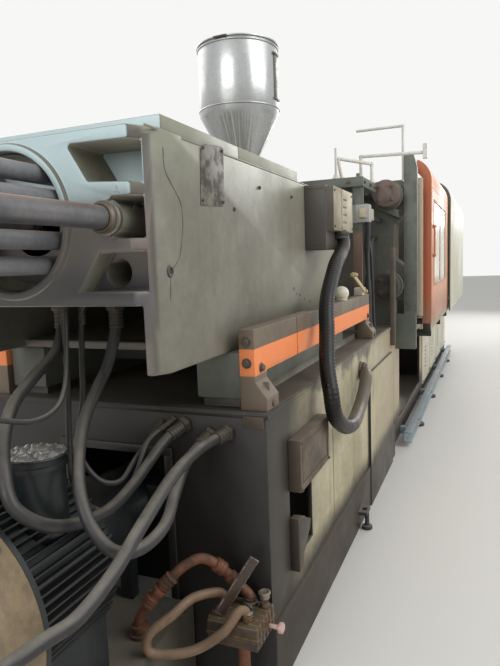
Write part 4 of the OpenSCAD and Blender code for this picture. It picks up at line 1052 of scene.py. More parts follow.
class MACHINE_OT_injection_bed(Operator):
    """Injection bed with its dark end, rims and welded seams"""

    bl_idname = "machine.injection_bed"
    bl_label = "Injection bed"

    def execute(self, context):
        dressed("injection_bed", sizes().cast_round * 0.7, "bed_paint")
        x, y, tall = BED_END - 0.005, HALF_BED + 0.005, (0.953, 0.969)
        rims = [slab("bed_rim", (x, BED_END), (-y, y), tall)]
        rims += [slab("bed_rim", (x, -0.56), about(side * (HALF_BED + 0.0025), 0.0025), tall)
                 for side in SIDES]
        merged("bed_rims", rims, "frame", "bed_paint")
        low, high, half, wide = 0.02, 0.8, 0.21, 0.03
        strips = (((-half - wide, half + wide), (high, high + wide)), ((-half - wide, -half), (low, high)),
                  ((half, half + wide), (low, high)))
        edges = [slab("opening_edge", (BED_END - 0.008, BED_END), y, z, 0.003) for y, z in strips]
        merged("opening_edges", edges, "frame", "bed_paint")
        seams = [slab("bed_seam", about(x, 0.0015), (-HALF_BED - 0.0012, -HALF_BED + 0.0004), (0.24, 0.95),
                      0.0004) for x in (-2.3, -1.5)]
        merged("bed_seams", seams, "frame", "dark_paint")
        return {"FINISHED"}


class MACHINE_OT_access_covers(Operator):
    """Side covers of the bed, the lower one broken away"""

    bl_idname = "machine.access_covers"
    bl_label = "Access covers"

    def execute(self, context):
        cover = box_mesh("access_cover", (-2.925, -HALF_BED - 0.048, 0.638), (-2.543, -HALF_BED, 0.828))
        choose_faces(cover, lambda centre, normal: normal.y < -0.9)
        for width, depth in ((0.018, 0.005), (0.01, -0.003)):
            bpy.ops.mesh.inset(thickness=width)
            bpy.ops.mesh.extrude_region_move(TRANSFORM_OT_translate={"value": (0, depth, 0)})
        bpy.ops.object.mode_set(mode="OBJECT")
        rounded(cover, 0.0035, 3, 30)
        broken = outline_plate("broken_cover", [
            (-2.925, 0.34), (-2.873, 0.34), (-2.872, 0.368), (-2.868, 0.392), (-2.842, 0.404), (-2.82, 0.43),
            (-2.795, 0.446), (-2.784, 0.466), (-2.778, 0.483), (-2.798, 0.49), (-2.82, 0.5), (-2.842, 0.512),
            (-2.85, 0.522), (-2.868, 0.528), (-2.882, 0.536), (-2.925, 0.54)],
            "y", -HALF_BED - 0.035, 0.0345, 0.0025)
        small = slab("end_plate", (BED_END - 0.008, BED_END - 0.0005), (-0.585, -0.515), (0.923, 0.961))
        piece = merged("access_covers_skin", [small, broken, cover], "frame", "cover_paint")
        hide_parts("access_covers")
        corners = [(x, -HALF_BED - 0.0475, z) for x in (-2.916, -2.552) for z in (0.647, 0.819)]
        screws("cover_screws", corners, -Y_AXIS, 0.0055)
        lip = (-HALF_BED - 0.003, -HALF_BED)
        frames = [slab("hole_frame", x, lip, z, 0.001)
                  for x, z in (((-2.78, -2.645), (0.342, 0.352)), ((-2.657, -2.645), (0.352, 0.636)))]
        merged("hole_frame", frames, "frame", "bed_paint")
        return {"FINISHED"}


class MACHINE_OT_beam_guards(Operator):
    """Two-tone beam guards on their bent feet"""

    bl_idname = "machine.beam_guards"
    bl_label = "Beam guards"

    def execute(self, context):
        dressed("beam_guards", sizes().sheet_round, "guard_two_tone", 3)
        low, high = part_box("beam_guards")
        face, half_foot = 0.55, 0.055
        middles = (low.x + half_foot, high.x - half_foot)
        ends = [(low.x - 0.0005, -0.523, z) for z in (1.2, 1.13)]
        feet = [(x, y, z) for x in middles for y, z in ((-face, 1.108), (-0.5835, 0.992))]
        heads = [bolt_heads("beam_bolts", places, direction, 0.02) for places, direction in (
            (ends, -X_AXIS), (feet, -Y_AXIS), (mirrored(feet), Y_AXIS))]
        hardware("beam_bolts", heads)
        seams = [slab("beam_seam", (-2.654, -2.649), about(side * (face + 0.001), 0.001), (1.091, 1.239),
                      0.0005) for side in SIDES]
        ribs = [slab("foot_rib", about(x, 0.004), about(side * (face + 0.014), 0.014), (1.018, 1.06))
                for x in middles for side in SIDES]
        merged("beam_seams", seams + ribs, "frame", "guard_two_tone")
        return {"FINISHED"}


class MACHINE_OT_housing(Operator):
    """Injection housing with its rear casting and lids, the saddle and the nameplate's bare place"""

    bl_idname = "machine.housing"
    bl_label = "Injection housing"

    def execute(self, context):
        dressed("injection_housing", sizes().cast_round, "housing_paint", 3)
        dressed("housing_lid", sizes().sheet_round * 1.3, "housing_paint", 3)
        dressed("saddle", sizes().cast_round, "casting_grey")
        self.casting()
        self.side(-HALF_HOUSING)
        self.near_marks(-HALF_HOUSING)
        return {"FINISHED"}

    def casting(self):
        """Seals of the injection rods and the bowl behind the hub"""
        profile = [(0.0303, 0), (0.041, 0), (0.0425, 0.002), (0.0425, 0.007), (0.0395, 0.009),
                   (0.0375, 0.016), (0.034, 0.018), (0.0303, 0.017), (0.0303, 0)]
        seals = [lathe("rod_seal", profile, (CARRIAGE_BACK - 0.0185, side * ROD_Y, AXIS_Z), -X_AXIS, 40)
                 for side in SIDES]
        hardware("rod_seals", seals, "carriage")
        profile = [(0.092, 0.0), (0.13, 0.002), (0.172, 0.016), (0.1895, 0.05), (0.1895, 0.088)]
        bowl = lathe("hub_bowl", profile, (CARRIAGE_BACK + 0.099, 0, AXIS_Z + 0.005), -X_AXIS, 64)
        keep(bowl, "carriage", "housing_paint")

    def side(self, face):
        """The nameplate's bare place, screws, the plug and the lids' lips"""
        outline = [(-3.236, 1.626), (-3.08, 1.634), (-3.066, 1.66), (-3.062, 1.818), (-3.084, 1.822),
                   (-3.196, 1.81), (-3.222, 1.792)]
        residue = outline_plate("name_place", outline, "y", face - 0.0022, 0.002, 0.0006)
        keep(residue, "carriage", "scraped_place")
        rivets = [(x, face - 0.002, z)
                  for x, z in ((-3.222, 1.642), (-3.078, 1.648), (-3.205, 1.798), (-3.074, 1.808))]
        screws("name_rivets", rivets, -Y_AXIS, 0.0045, "carriage")
        heads = [(x, face, z) for x, z in ((-2.754, 1.727), (-2.381, 1.727), (-2.99, 1.633))]
        screws("side_screws", heads, -Y_AXIS, 0.0065, "carriage")
        plug = lathe("side_plug", [(0, 0.0006), (0.0085, 0.0006), (0.0095, 0.0035), (0.013, 0.0045),
                                   (0.016, 0.003), (0.0175, 0)], (-3.432, face, 1.437), -Y_AXIS, 40)
        keep(plug, "carriage", "dark_paint")
        lips = [slab("lid_lip", (-3.52, -1.66), about(y, 0.003), (1.8008, 1.8065))
                for y in (face + 0.004, -face - 0.004)]
        merged("lid_lips", lips, "carriage", "housing_paint")
        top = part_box("housing_lid")[1].z
        heads = [(x, y, top) for x in (-3.0, -2.6, -2.2) for y in (-0.41, 0.41)]
        screws("lid_screws", heads, Z_AXIS, 0.009, "carriage")

    def near_marks(self, face):
        """A crack in the paint and chips beside the beam"""
        seam = [(-3.437, 1.76), (-3.43, 1.7), (-3.36, 1.63), (-3.348, 1.58), (-3.356, 1.53), (-3.379, 1.472),
                (-3.425, 1.43), (-3.436, 1.36)]
        path = evenly(smooth_route([(x, face - 0.0004, z) for x, z in seam]), 0.006)
        crack = swept("paint_crack", path, lambda along: 0.0013 + 0.0004 * math.sin(90 * along), 8, DOWN,
                      DOWN)
        keep(crack, "carriage", "crack_line")
        marks = []
        for x, z, size in ((-2.373, 1.333, 0.012), (-2.34, 1.31, 0.007), (-2.29, 1.302, 0.009),
                           (-2.22, 1.28, 0.008), (-2.134, 1.263, 0.011), (-2.17, 1.29, 0.005)):
            ragged = [(x + size * (1 + 0.3 * math.sin(5 * a + x * 40)) * math.cos(a),
                       z + 0.7 * size * (1 + 0.3 * math.cos(3 * a + x * 20)) * math.sin(a))
                      for a in turns(12)]
            marks.append(outline_plate("chip", ragged, "y", face - 0.0007, 0.0006, 0.0002))
        merged("paint_chips", marks, "carriage", "dark_paint")


class MACHINE_OT_junction_box(Operator):
    """Junction box: dark part and slotted cream part"""

    bl_idname = "machine.junction_box"
    bl_label = "Junction box"

    def execute(self, context):
        dressed("junction_box", sizes().sheet_round, "junction_paint", 3)
        low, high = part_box("junction_box")
        corners = [(x, low.y, z) for x in (low.x + 0.03, high.x - 0.018) for z in (1.606, 1.77)]
        screws("box_screws", corners, -Y_AXIS, 0.005, "carriage")
        seams = [slab("box_seam", (low.x - 0.0015, low.x + 0.0005), (-0.545, -0.455), (z, z + 0.002), 0.0005)
                 for z in (1.52, 1.778)]
        seams.append(slab("box_seam", (-2.024, -2.021), (low.y - 0.0012, low.y + 0.0005), (1.59, 1.786),
                          0.0005))
        merged("box_seams", seams, "carriage", "dark_paint")
        return {"FINISHED"}


class MACHINE_OT_injection_drive(Operator):
    """Guide bars, rear plate, thrust plate, rods and hydraulic motor"""

    bl_idname = "machine.injection_drive"
    bl_label = "Injection drive"

    def execute(self, context):
        paint_node("guide_bars", "guide_steel")
        paint_node("injection_rods", "rod_steel")
        dressed("rear_plate", 0.004, "casting_grey")
        dressed("thrust_plate", 0.005, "casting_grey")
        dressed("hydraulic_motor", 0.004, "motor_paint")
        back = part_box("rear_plate")[0].x - 0.001
        profile = [(0, 0.001), (0.0225, 0.001), (0.0225, 0.0145), (0.019, 0.018), (0.009, 0.018),
                   (0.007, 0.014), (0, 0.014)]
        nuts = [lathe("bar_nut", profile, (back, side * y, AXIS_Z + z), -X_AXIS, 6)
                for y, z in ((0.11, 0.13), (0.15, 0.062), (0.15, -0.05), (0.115, -0.115)) for side in SIDES]
        hardware("bar_nuts", nuts, "carriage")
        flange = ring(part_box("hydraulic_motor")[1].x - 0.04, 0.119, 8, 22.5)
        screws("motor_screws", flange, -X_AXIS, 0.007, "thrust")
        profile = [(0, 0), (0.03, 0), (0.03, 0.012), (0.02, 0.014), (0.02, 0.03), (0.012, 0.032), (0, 0.028)]
        ports = [lathe("motor_port", profile, (x, 0, AXIS_Z + 0.106), UP, 32) for x in (-4.42, -4.34)]
        merged("motor_ports", ports, "thrust", "motor_paint")
        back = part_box("thrust_plate")[0].x
        heads = [(back, y, AXIS_Z + z) for y in (-0.24, 0.24) for z in (-0.17, 0.17)]
        hardware("thrust_bolts", [bolt_heads("thrust_bolts", heads, -X_AXIS, 0.03)], "thrust")
        return {"FINISHED"}


class MACHINE_OT_barrel(Operator):
    """Barrel, screw, carriage rod and heater bands with their clamps and plugs"""

    bl_idname = "machine.barrel"
    bl_label = "Barrel and heaters"

    def execute(self, context):
        dressed("barrel", 0.003, "heated_steel")
        paint_node("screw", "oiled_steel")
        paint_node("carriage_rod", "chrome_steel")
        dressed("heater_bands", 0.0015, "strap_steel")
        clamps, plugs = [], []
        for start in (-1.59 + i * 0.22 for i in range(5)):
            for x in (start + 0.03, start + 0.14):
                clamps.append(slab("ear", about(x, 0.011), (-0.121, -0.103), about(AXIS_Z, 0.014)))
                bottom, top = about(AXIS_Z, 0.024)
                clamps.append(rod("clamp_screw", (x, -0.113, bottom), (x, -0.113, top), 0.003, 12, 0.0005))
            plugs.append(slab("plug", (start + 0.055, start + 0.115), (-0.022, 0.022),
                              (AXIS_Z + 0.105, AXIS_Z + 0.138), 0.005, 3))
        hardware("band_clamps", clamps, "carriage")
        merged("heater_plugs", plugs, "carriage", "plug_plastic")
        return {"FINISHED"}


class MACHINE_OT_hopper(Operator):
    """Hopper with its rolled rim, sight glass and hinged lid"""

    bl_idname = "machine.hopper"
    bl_label = "Hopper"

    def execute(self, context):
        dressed("hopper", 0.003, "sheet_steel")
        dressed("hopper_lid", 0.0025, "sheet_steel")
        low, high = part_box("hopper")
        centre, top, radius = -1.85, high.z, (high.x - low.x) / 2
        beads = [torus("bead", radius, 0.005, (centre, 0, z), 72, 12) for z in (top - 0.012, top - 0.315)]
        merged("hopper_beads", beads, "carriage", "sheet_steel")
        glass = slab("sight_glass", about(centre, 0.025), about(-radius, 0.004), (top - 0.27, top - 0.06),
                     0.003)
        keep(glass, "carriage", "sight_plastic")
        bits = [slab("sight_frame", about(centre, 0.033), about(-radius, 0.006), (z, z + 0.012))
                for z in (top - 0.282, top - 0.06)]
        flange = [(centre + x, y, 1.825) for x in (-0.11, 0.11) for y in (-0.11, 0.11)]
        bits.append(bolt_heads("flange_bolts", flange, Z_AXIS, 0.019))
        x, z = centre - 0.2165, top + 0.002
        bits.append(rod("hinge", (x, -0.035, z), (x, 0.035, z), 0.005, 20))
        rim = centre + radius
        bits.append(slab("latch", (rim + 0.001, rim + 0.008), (-0.012, 0.012), (top - 0.05, top - 0.004)))
        hardware("hopper_fittings", bits, "carriage")
        return {"FINISHED"}


class MACHINE_OT_platform(Operator):
    """Top platform with its terminal boxes and bolts, the bar below it and the white rails"""

    bl_idname = "machine.platform"
    bl_label = "Top platform"

    def execute(self, context):
        dressed("top_platform", sizes().sheet_round, "platform_paint")
        paint_node("top_rails", "white_enamel")
        dressed("post_bar", 0.004, "brown_bar")
        pieces = []
        for x, y, z in (((-1.165, -1.15), (-0.53, -0.485), (1.705, 1.765)),
                        ((-1.02, -0.9), (-0.53, -0.44), (1.7, 1.775)),
                        ((-1.07, -1.0), (-0.52, -0.46), (1.7, 1.8))):
            pieces.append(slab("terminal_box", x, y, z, 0.005, 3))
            pieces.append(slab("terminal_lid", (x[0] - 0.004, x[0] + 0.001), (y[0] + 0.004, y[1] - 0.004),
                               (z[0] + 0.004, z[1] - 0.004)))
        merged("terminal_boxes", pieces, "frame", "beige_paint")
        carrier = slab("terminal_rail", (-1.07, -0.36), (-0.49, -0.47), (1.715, 1.745), 0.003)
        keep(carrier, "frame", "dark_paint")
        near = [(x, -0.51, 1.93) for x in (-1.1, -0.92, -0.78)]
        end = [(-1.15, y, 1.93) for y in (-0.42, 0, 0.42)]
        heads = [bolt_heads("platform_bolts", places, direction, 0.017)
                 for places, direction in ((near, -Y_AXIS), (end, -X_AXIS))]
        hardware("platform_bolts", heads)
        profile = [(0.0113, 0), (0.028, 0), (0.028, 0.004), (0.018, 0.007), (0.016, 0.025),
                   (0.0113, 0.025), (0.0113, 0)]
        shoes = [lathe("rail_shoe", profile, (x, y, 1.9605), Z_AXIS, 28)
                 for x, y in ((-1.0, -0.345), (-0.75, -0.49), (-0.72, -0.41), (-1.12, -0.335))]
        merged("rail_shoes", shoes, "frame", "white_enamel")
        return {"FINISHED"}


class MACHINE_OT_guards(Operator):
    """Columns, sliding doors with window and handle, and the cream end guards"""

    bl_idname = "machine.guards"
    bl_label = "Guards and doors"

    def execute(self, context):
        edge = sizes().sheet_round
        dressed("guard_columns", edge, "column_paint")
        dressed("end_guards", edge, "cream_paint")
        for door in ("front_door", "rear_door"):
            dressed(door, edge, "orange_paint", 3)
        paint_node("door_window", milky_sheet())
        self.window()
        self.doors()
        self.end_guards()
        return {"FINISHED"}

    def window(self):
        """Frame and middle bar around the front door's window"""
        low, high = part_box("door_window")
        wide, lap, back = 0.018, 0.006, low.y - 0.0005
        left, right = (low.x - wide, low.x + lap), (high.x - lap, high.x + wide)
        across = (low.x - wide, high.x + wide)
        bars = [slab("window_bar", x, (low.y - lap, back), z, 0.003) for x, z in (
            (across, (low.z - wide, low.z + lap)), (across, (high.z - lap, high.z + wide)),
            (left, (low.z, high.z)), (right, (low.z, high.z)))]
        bars.append(slab("window_bar", about((low.x + high.x) / 2, 0.012), (low.y - lap * 0.7, back),
                         (low.z, high.z)))
        merged("window_frame", bars, "front_door", "window_frame_paint")

    def doors(self):
        """Folded seams and rollers of both doors, and the handle's screws"""
        low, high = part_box("front_door")
        heads = [(low.x + 0.1025, low.y - 0.0005, z) for z in (1.4625, 1.6875)]
        screws("handle_screws", heads, -Y_AXIS, 0.006, "front_door")
        left, right, bottom, top = low.x + 0.03, high.x - 0.03, 1.0, 1.98
        fold_y, roller_y, roller_z = 0.8203, 0.802, 0.962
        profile = [(0, 0), (0.02, 0), (0.022, 0.003), (0.022, 0.013), (0.02, 0.016), (0, 0.016)]
        for body, side in (("front_door", -1), ("rear_door", 1)):
            y = about(side * fold_y, 0.0012)
            seams = [slab("door_fold", about(x, 0.004), y, (bottom, top), 0.001) for x in (left, right)]
            seams += [slab("door_fold", (left, right), y, (z, z + 0.008), 0.001) for z in (bottom, top)]
            merged(body + "_folds", seams, body, "orange_paint")
            wheels = [lathe("roller", profile, (x, side * roller_y, roller_z), side * Y_AXIS, 28)
                      for x in (0.1, 1.55)]
            merged(body + "_rollers", wheels, body, "foot_rubber")

    def end_guards(self):
        """Edge strips, seams, louvres and screws of the end guards, and the columns' laps"""
        strips, slats, screwed = [], [], []
        for side in SIDES:
            face = side * 0.85
            y = sorted((side * 0.8325, side * 0.846))
            strips.append(slab("guard_edge", (1.672, 1.69), y, (0.9, 2.03)))
            y = (face - side * 0.0025 - 0.0015, face - side * 0.0012 + 0.0003)
            slats += [slab("guard_seam", about(x, 0.003), y, (0.9, 2.0), 0.0006) for x in (2.42, 3.13, 3.84)]
            y = about(face - side * 0.009, 0.006)
            slats += [slab("louvre", about(x, 0.16), y, (z, z + 0.016), 0.005)
                      for x in (2.02, 2.78, 3.5, 4.2) for z in (1.05 + k * 0.045 for k in range(7))]
            heads = [(x, face - side * 0.002, z) for x in (2.36, 2.48, 3.07, 3.19, 3.78, 3.9, 4.44)
                     for z in (0.95, 1.5, 1.97)]
            screwed.append(socket_screws("guard_screws", heads, side * Y_AXIS, 0.008))
            flatten = Matrix.Translation((0, side * 0.842, 0)) @ Matrix.Diagonal((1, 0.75, 1, 1))
            screwed[-1].data.transform(flatten @ Matrix.Translation((0, -side * 0.848, 0)))
        merged("guard_edges", strips, "frame", "column_paint")
        merged("guard_louvres", slats, "frame", "cream_paint")
        hardware("guard_screws", screwed)
        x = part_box("guard_columns")[0].x
        laps = [slab("column_lap", (x - 0.0012, x + 0.0005), about(side * 0.7035, 0.04), (1.06, 2.05), 0.0006)
                for side in SIDES]
        merged("column_laps", laps, "frame", "column_paint")


class MACHINE_OT_clamp(Operator):
    """Clamp bed, platens, tie bars, clamp cylinder and ejector"""

    bl_idname = "machine.clamp"
    bl_label = "Clamp unit"

    def execute(self, context):
        for node, edge, look in (
                ("clamp_bed", sizes().sheet_round, "bed_paint"), ("bed_panels", 0.004, "cream_paint"),
                ("base_channels", 0.002, "base_paint"), ("levelling_pads", 0.003, "foot_rubber"),
                ("fixed_platen", sizes().cast_round, "casting_grey"),
                ("moving_platen", sizes().cast_round, "casting_grey"),
                ("clamp_cylinder", sizes().cast_round, "casting_grey"),
                ("tie_bar_caps", 0.005, "cap_paint"), ("ejector", 0.003, "oiled_steel")):
            dressed(node, edge, look)
        paint_node("tie_bars", "chrome_steel")
        paint_node("clamp_ram", "chrome_steel")
        face, bar_y, bar_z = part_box("tie_bar_caps")[1].x, 0.553, 0.327
        heads = [(x, y + side, z) for side in (-bar_y, bar_y) for height in (-bar_z, bar_z)
                 for x, y, z in ring(face, 0.083, 8, 0, AXIS_Z + height)]
        screws("tie_screws", heads, X_AXIS, 0.007)
        low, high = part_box("clamp_cylinder")
        heads = bolt_heads("cylinder_bolts", ring(high.x, 0.215, 12), X_AXIS, 0.03)
        keep(heads, "frame", "bolt_steel")
        gland = lathe("ram_gland", [
            (0.1505, 0), (0.205, 0), (0.21, 0.005), (0.21, 0.02), (0.2, 0.026), (0.165, 0.028),
            (0.155, 0.022), (0.1505, 0.022), (0.1505, 0)], (low.x + 0.001, 0, AXIS_Z), -X_AXIS, 72)
        keep(gland, "frame", "bolt_steel")
        places = [(x + dx, -HALF_BED - 0.012, z) for x in (1.3, 2.06, 2.82, 3.58)
                  for dx in (0.03, 0.71) for z in (0.18, 0.75)]
        heads = [socket_screws("panel_screws", places, -Y_AXIS, 0.008),
                 socket_screws("panel_screws", mirrored(places), Y_AXIS, 0.008)]
        hardware("panel_screws", heads)
        vents = [slab("vent", about(x, 0.14), about(side * (HALF_BED + 0.015), 0.004),
                      (0.3 + k * 0.04, 0.314 + k * 0.04), 0.0035)
                 for x in (1.67, 2.43, 3.19, 3.95) for k in range(6) for side in SIDES]
        merged("bed_vents", vents, "frame", "cream_paint")
        nuts = [(x, side * 0.67, 0.04) for x in (0.3, 1.4, 2.5, 3.6) for side in SIDES]
        hardware("pad_nuts", [bolt_heads("pad_nuts", nuts, Z_AXIS, 0.026, False)])
        return {"FINISHED"}


class MACHINE_OT_pump_set(Operator):
    """Pump motor with fins, cowl and fan grille, bell housing, pump and base"""

    bl_idname = "machine.pump_set"
    bl_label = "Pump set"

    def execute(self, context):
        paint_node("pump_motor", "motor_paint")
        paint_node("motor_rotor", "oiled_steel")
        dressed("motor_cowl", 0.002, "cowl_paint", 2, 50)
        dressed("pump_base", 0.004, "base_frame_paint")
        dressed("hydraulic_pump", 0.004, "motor_paint")
        self.fins()
        self.film()
        self.grille()
        self.bolts()
        profile = [(0, 0), (0.02, 0), (0.02, 0.008), (0.01, 0.012), (0.01, 0.03), (0, 0.03)]
        eye = [lathe("lifting_eye", profile, (-3.6, 0.0, 0.869), Z_AXIS, 24),
               torus("lifting_eye", 0.024, 0.008, (-3.6, 0, 0.918), 32, 12, (math.pi / 2, 0, 0))]
        merged("lifting_eye", eye, "frame", "motor_paint")
        lid = lathe("terminal_cap", [(0, 0), (0.083, 0), (0.084, 0.002), (0.082, 0.005), (0, 0.0055)],
                    (*POT, 0.9695), Z_AXIS, 48)
        keep(lid, "frame", "motor_paint")
        return {"FINISHED"}

    def fins(self):
        """Thinner fins between the solid's own"""
        fin = rounded(box_mesh("motor_fins", (-3.836, -0.0025, 0.329), (-3.5, 0.0025, 0.363)), 0.001, 1)
        centre = Matrix.Translation((0, 0, MOTOR_Z))
        places = [centre @ Matrix.Rotation(a, 4, "X") @ centre.inverted() for a in turns(36, 5)]
        keep(copies("motor_fins", fin, places), "frame", "motor_paint")

    def film(self):
        """Crumpled packing film over the motor's terminal pot"""
        radius = 0.081
        bpy.ops.mesh.primitive_circle_add(vertices=64, radius=radius, fill_type="TRIFAN",
                                          location=(*POT, 0.9745))
        film = settle(bpy.context.object, "pot_film")
        bpy.ops.object.mode_set(mode="EDIT")
        bpy.ops.mesh.select_all(action="SELECT")
        bpy.ops.mesh.subdivide(number_cuts=11)
        bpy.ops.object.mode_set(mode="OBJECT")
        for corner in film.data.vertices:
            x, y = corner.co.x - POT[0], corner.co.y - POT[1]
            out = math.hypot(x, y) / radius
            fold = (math.sin(95 * x + 3 * math.sin(70 * y)) + math.sin(120 * y + 2.5 * math.sin(60 * x + 1))
                    + 0.6 * math.sin(230 * (x - y)))
            corner.co.z += 0.0035 * abs(fold) * (1 - 0.5 * out ** 4) - 0.04 * max(0, out - 0.9)
        solid = film.modifiers.new("Thickness", "SOLIDIFY")
        solid.thickness = 0.0012
        solid.offset = 1
        bpy.ops.object.modifier_apply(modifier=solid.name)
        bpy.ops.object.shade_smooth_by_angle(angle=math.radians(50))
        keep(film, "frame", "film_sheet")

    def grille(self):
        """Rings and spokes of the fan grille in the cowl's end"""
        end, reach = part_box("motor_cowl")[0].x, 0.119
        bars = [torus("grille", radius, 0.0025, (end + 0.006, 0, MOTOR_Z), 48, 8, (0, math.pi / 2, 0))
                for radius in (0.045, 0.07, 0.095, 0.118)]
        spots = ring(end + 0.008, reach, 8, 0, MOTOR_Z)
        bars += [rod("grille", spots[k + 4], spots[k], 0.0025, 10, 0.0005) for k in range(4)]
        merged("cowl_grille", bars, "frame", "cowl_paint")

    def bolts(self):
        """Bolts of the cowl, the bell housing, the pump and the base"""
        cowl = ring(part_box("motor_cowl")[1].x - 0.03, 0.3205, 4, 45, MOTOR_Z)
        heads = [bolt_heads("cowl_screws", [spot], (0, spot[1], spot[2] - MOTOR_Z), 0.013) for spot in cowl]
        bell_face, base_top = -3.4795, 0.2805
        heads.append(bolt_heads("bell_bolts", ring(bell_face, 0.132, 8, 22.5, MOTOR_Z), X_AXIS, 0.02))
        hardware("motor_bolts", heads)
        caps = ring(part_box("hydraulic_pump")[1].x, 0.085, 6, 0, MOTOR_Z)
        screws("pump_screws", caps, X_AXIS, 0.008)
        corners = [(x, side * 0.288, base_top) for x in (-4.15, -3.2) for side in SIDES]
        hardware("base_bolts", [bolt_heads("base_bolts", corners, Z_AXIS, 0.022)])


class MACHINE_OT_pipework(Operator):
    """Rusty pipe with its sleeves and flange, valve block, hand wheel and loose plate"""

    bl_idname = "machine.pipework"
    bl_label = "Water pipework"

    def execute(self, context):
        self.pipes()
        self.block()
        self.wheel()
        self.loose_plate((-3.272, -0.487, 0.351), -46, -51)
        return {"FINISHED"}

    def loose_plate(self, corner, turn, tilt):
        """Strip of steel that leans on the valve block"""
        strip = rounded(box_mesh("loose_plate", (0, 0.0005, 0), (0.2, 0.0075, 0.036)), 0.0015)
        strip.data.transform(Matrix.Translation(corner) @ Matrix.Rotation(math.radians(turn), 4, "Z")
                             @ Matrix.Rotation(math.radians(tilt), 4, "Y"))
        keep(strip, "frame", "plate_rust")

    def pipes(self):
        path = evenly(smooth_route(PIPE, 10), 0.004)
        whole = route_length(path)

        def with_sleeves(along):
            sleeve = any(abs(along - whole * part) < 0.021 for part in (0.2, 0.36, 0.74, 0.86))
            bead = 0.0016 * (math.cos(along * 2 * math.pi / 0.014) > 0.2)
            return 0.0165 + (0.006 + bead if sleeve else 0.0)

        flange = [(0.0, 0.0), (0.034, 0.0), (0.034, 0.012), (0.029, 0.014), (0.029, 0.037), (0.0, 0.04)]
        nut_from, nut_to = [path[int(len(path) * part)] for part in (0.27, 0.31)]
        pieces = [swept("pipe", path, with_sleeves, 28, UP, DOWN),
                  lathe("pipe_flange", flange, (-3.35, -0.226, 0.28), Z_AXIS, 32),
                  rod("union_nut", nut_from, nut_to, 0.027, 6, 0.002),
                  rod("drain", (-3.2, -0.52, 0.0), (-3.2, -0.52, 0.28), 0.02, 24, 0.001),
                  rod("bed_pipe", (-3.16, -0.56, 0.31), (-3.12, -0.56, 0.31), 0.015, 24, 0.001)]
        pipework = merged("water_pipework_skin", pieces, "frame", "pipe_rust")
        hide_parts("water_pipework")

    def block(self):
        """Valve block with its ribs, band, posts and nipples"""
        low, high = Vector((-3.3, -0.61, 0.275)), Vector((-3.15, -0.44, 0.35))
        body = [plate("block", low, high, 0.005, 3)]
        body += [slab("block_rib", about(low.x + 0.022 + k * 0.027, 0.005), (low.y - 0.0035, high.y + 0.0035),
                      (low.z + 0.006, high.z + 0.0035), 0.003, 3) for k in range(5)]
        body.append(slab("block_band", (low.x - 0.003, high.x + 0.003), (low.y - 0.002, high.y + 0.002),
                         (low.z + 0.03, low.z + 0.04)))
        for x, y, top, radius in ((-3.18, -0.54, 0.392, 0.024), (-3.18, -0.59, 0.385, 0.0165),
                                  (-3.215, -0.47, 0.376, 0.019), (-3.265, -0.565, 0.376, 0.019)):
            neck, rise = radius * 0.82, top - 0.366
            profile = [(radius, -0.002), (radius, 0.012), (neck, 0.016), (neck, rise), (0, rise)]
            body.append(lathe("post", profile, (x, y, high.z), Z_AXIS, 28))
        merged("valve_block", body, "frame", "greasy_block")
        nipples = [rod("hose_nipple", (x, y, 0.362), (x, y, 0.372), 0.0205, 6, 0.001)
                   for x, y in ((-3.215, -0.47), (-3.265, -0.565))]
        merged("valve_nipples", nipples, "frame", "greasy_brass")
        fitting = lathe("open_fitting", [
            (0.011, 0), (0.0165, 0), (0.0165, 0.012), (0.02, 0.014), (0.02, 0.019), (0.015, 0.021),
            (0.0135, 0.012), (0.011, 0.006), (0.011, 0)], (-3.18, -0.59, 0.384), Z_AXIS, 32)
        keep(fitting, "frame", "strap_steel")

    def wheel(self):
        """Lobed hand wheel of the valve on its stem"""
        centre = Vector((-3.2, -0.64, 0.305))
        pieces = [lathe("valve_wheel", [(0, -0.003), (0.008, -0.003), (0.009, 0.003), (0.013, 0.006),
                                        (0.0155, 0.005), (0.016, 0.011), (0.0145, 0.018), (0.009, 0.0205),
                                        (0, 0.02)], centre, -Y_AXIS, 36)]
        for a in turns(6):
            x, z = centre.x + 0.0135 * math.cos(a), centre.z + 0.0135 * math.sin(a)
            pieces.append(rod("lobe", (x, centre.y - 0.005, z), (x, centre.y - 0.018, z), 0.0035, 16, 0.001))
        pieces.append(rod("valve_stem", (centre.x, -0.6105, centre.z), centre, 0.007, 20, 0.001))
        wheel = merged("valve_handle_skin", pieces, "valve_handle", "pink_plastic")
        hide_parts("valve_handle")


class MACHINE_OT_lubrication(Operator):
    """Lubrication block with its lever, and the oil cup on the beam"""

    bl_idname = "machine.lubrication"
    bl_label = "Lubrication"

    def execute(self, context):
        dressed("lube_pump", 0.003, "oil_cup_enamel", 3)
        dressed("lube_lever", 0.0025, "yellow_paint")
        pivot, reach, lean = Vector((-1.34, -0.555, 1.262)), 0.335, math.radians(18.6)
        tip = pivot + Vector((-reach * math.cos(lean), -0.005, reach * math.sin(lean)))
        grip = lathe("lever_grip", [(0.0, -0.02), (0.008, -0.02), (0.012, -0.012), (0.013, 0.0),
                                    (0.011, 0.014), (0.006, 0.02), (0, 0.021)], tip, -Y_AXIS, 28)
        nut = bolt_heads("lever_nut", [pivot + Vector((0, -0.004, 0))], -Y_AXIS, 0.017)
        merged("lever_fittings", [grip, nut], "lube_lever", "yellow_paint")
        cup = lathe("cup_collar", [(0.021, 0), (0.0275, 0), (0.03, 0.003), (0.03, 0.008), (0.026, 0.011),
                                   (0.021, 0.011), (0.021, 0)], (-1.8, -0.523, 1.2405), Z_AXIS, 36)
        keep(cup, "frame", "oil_cup_enamel")
        return {"FINISHED"}


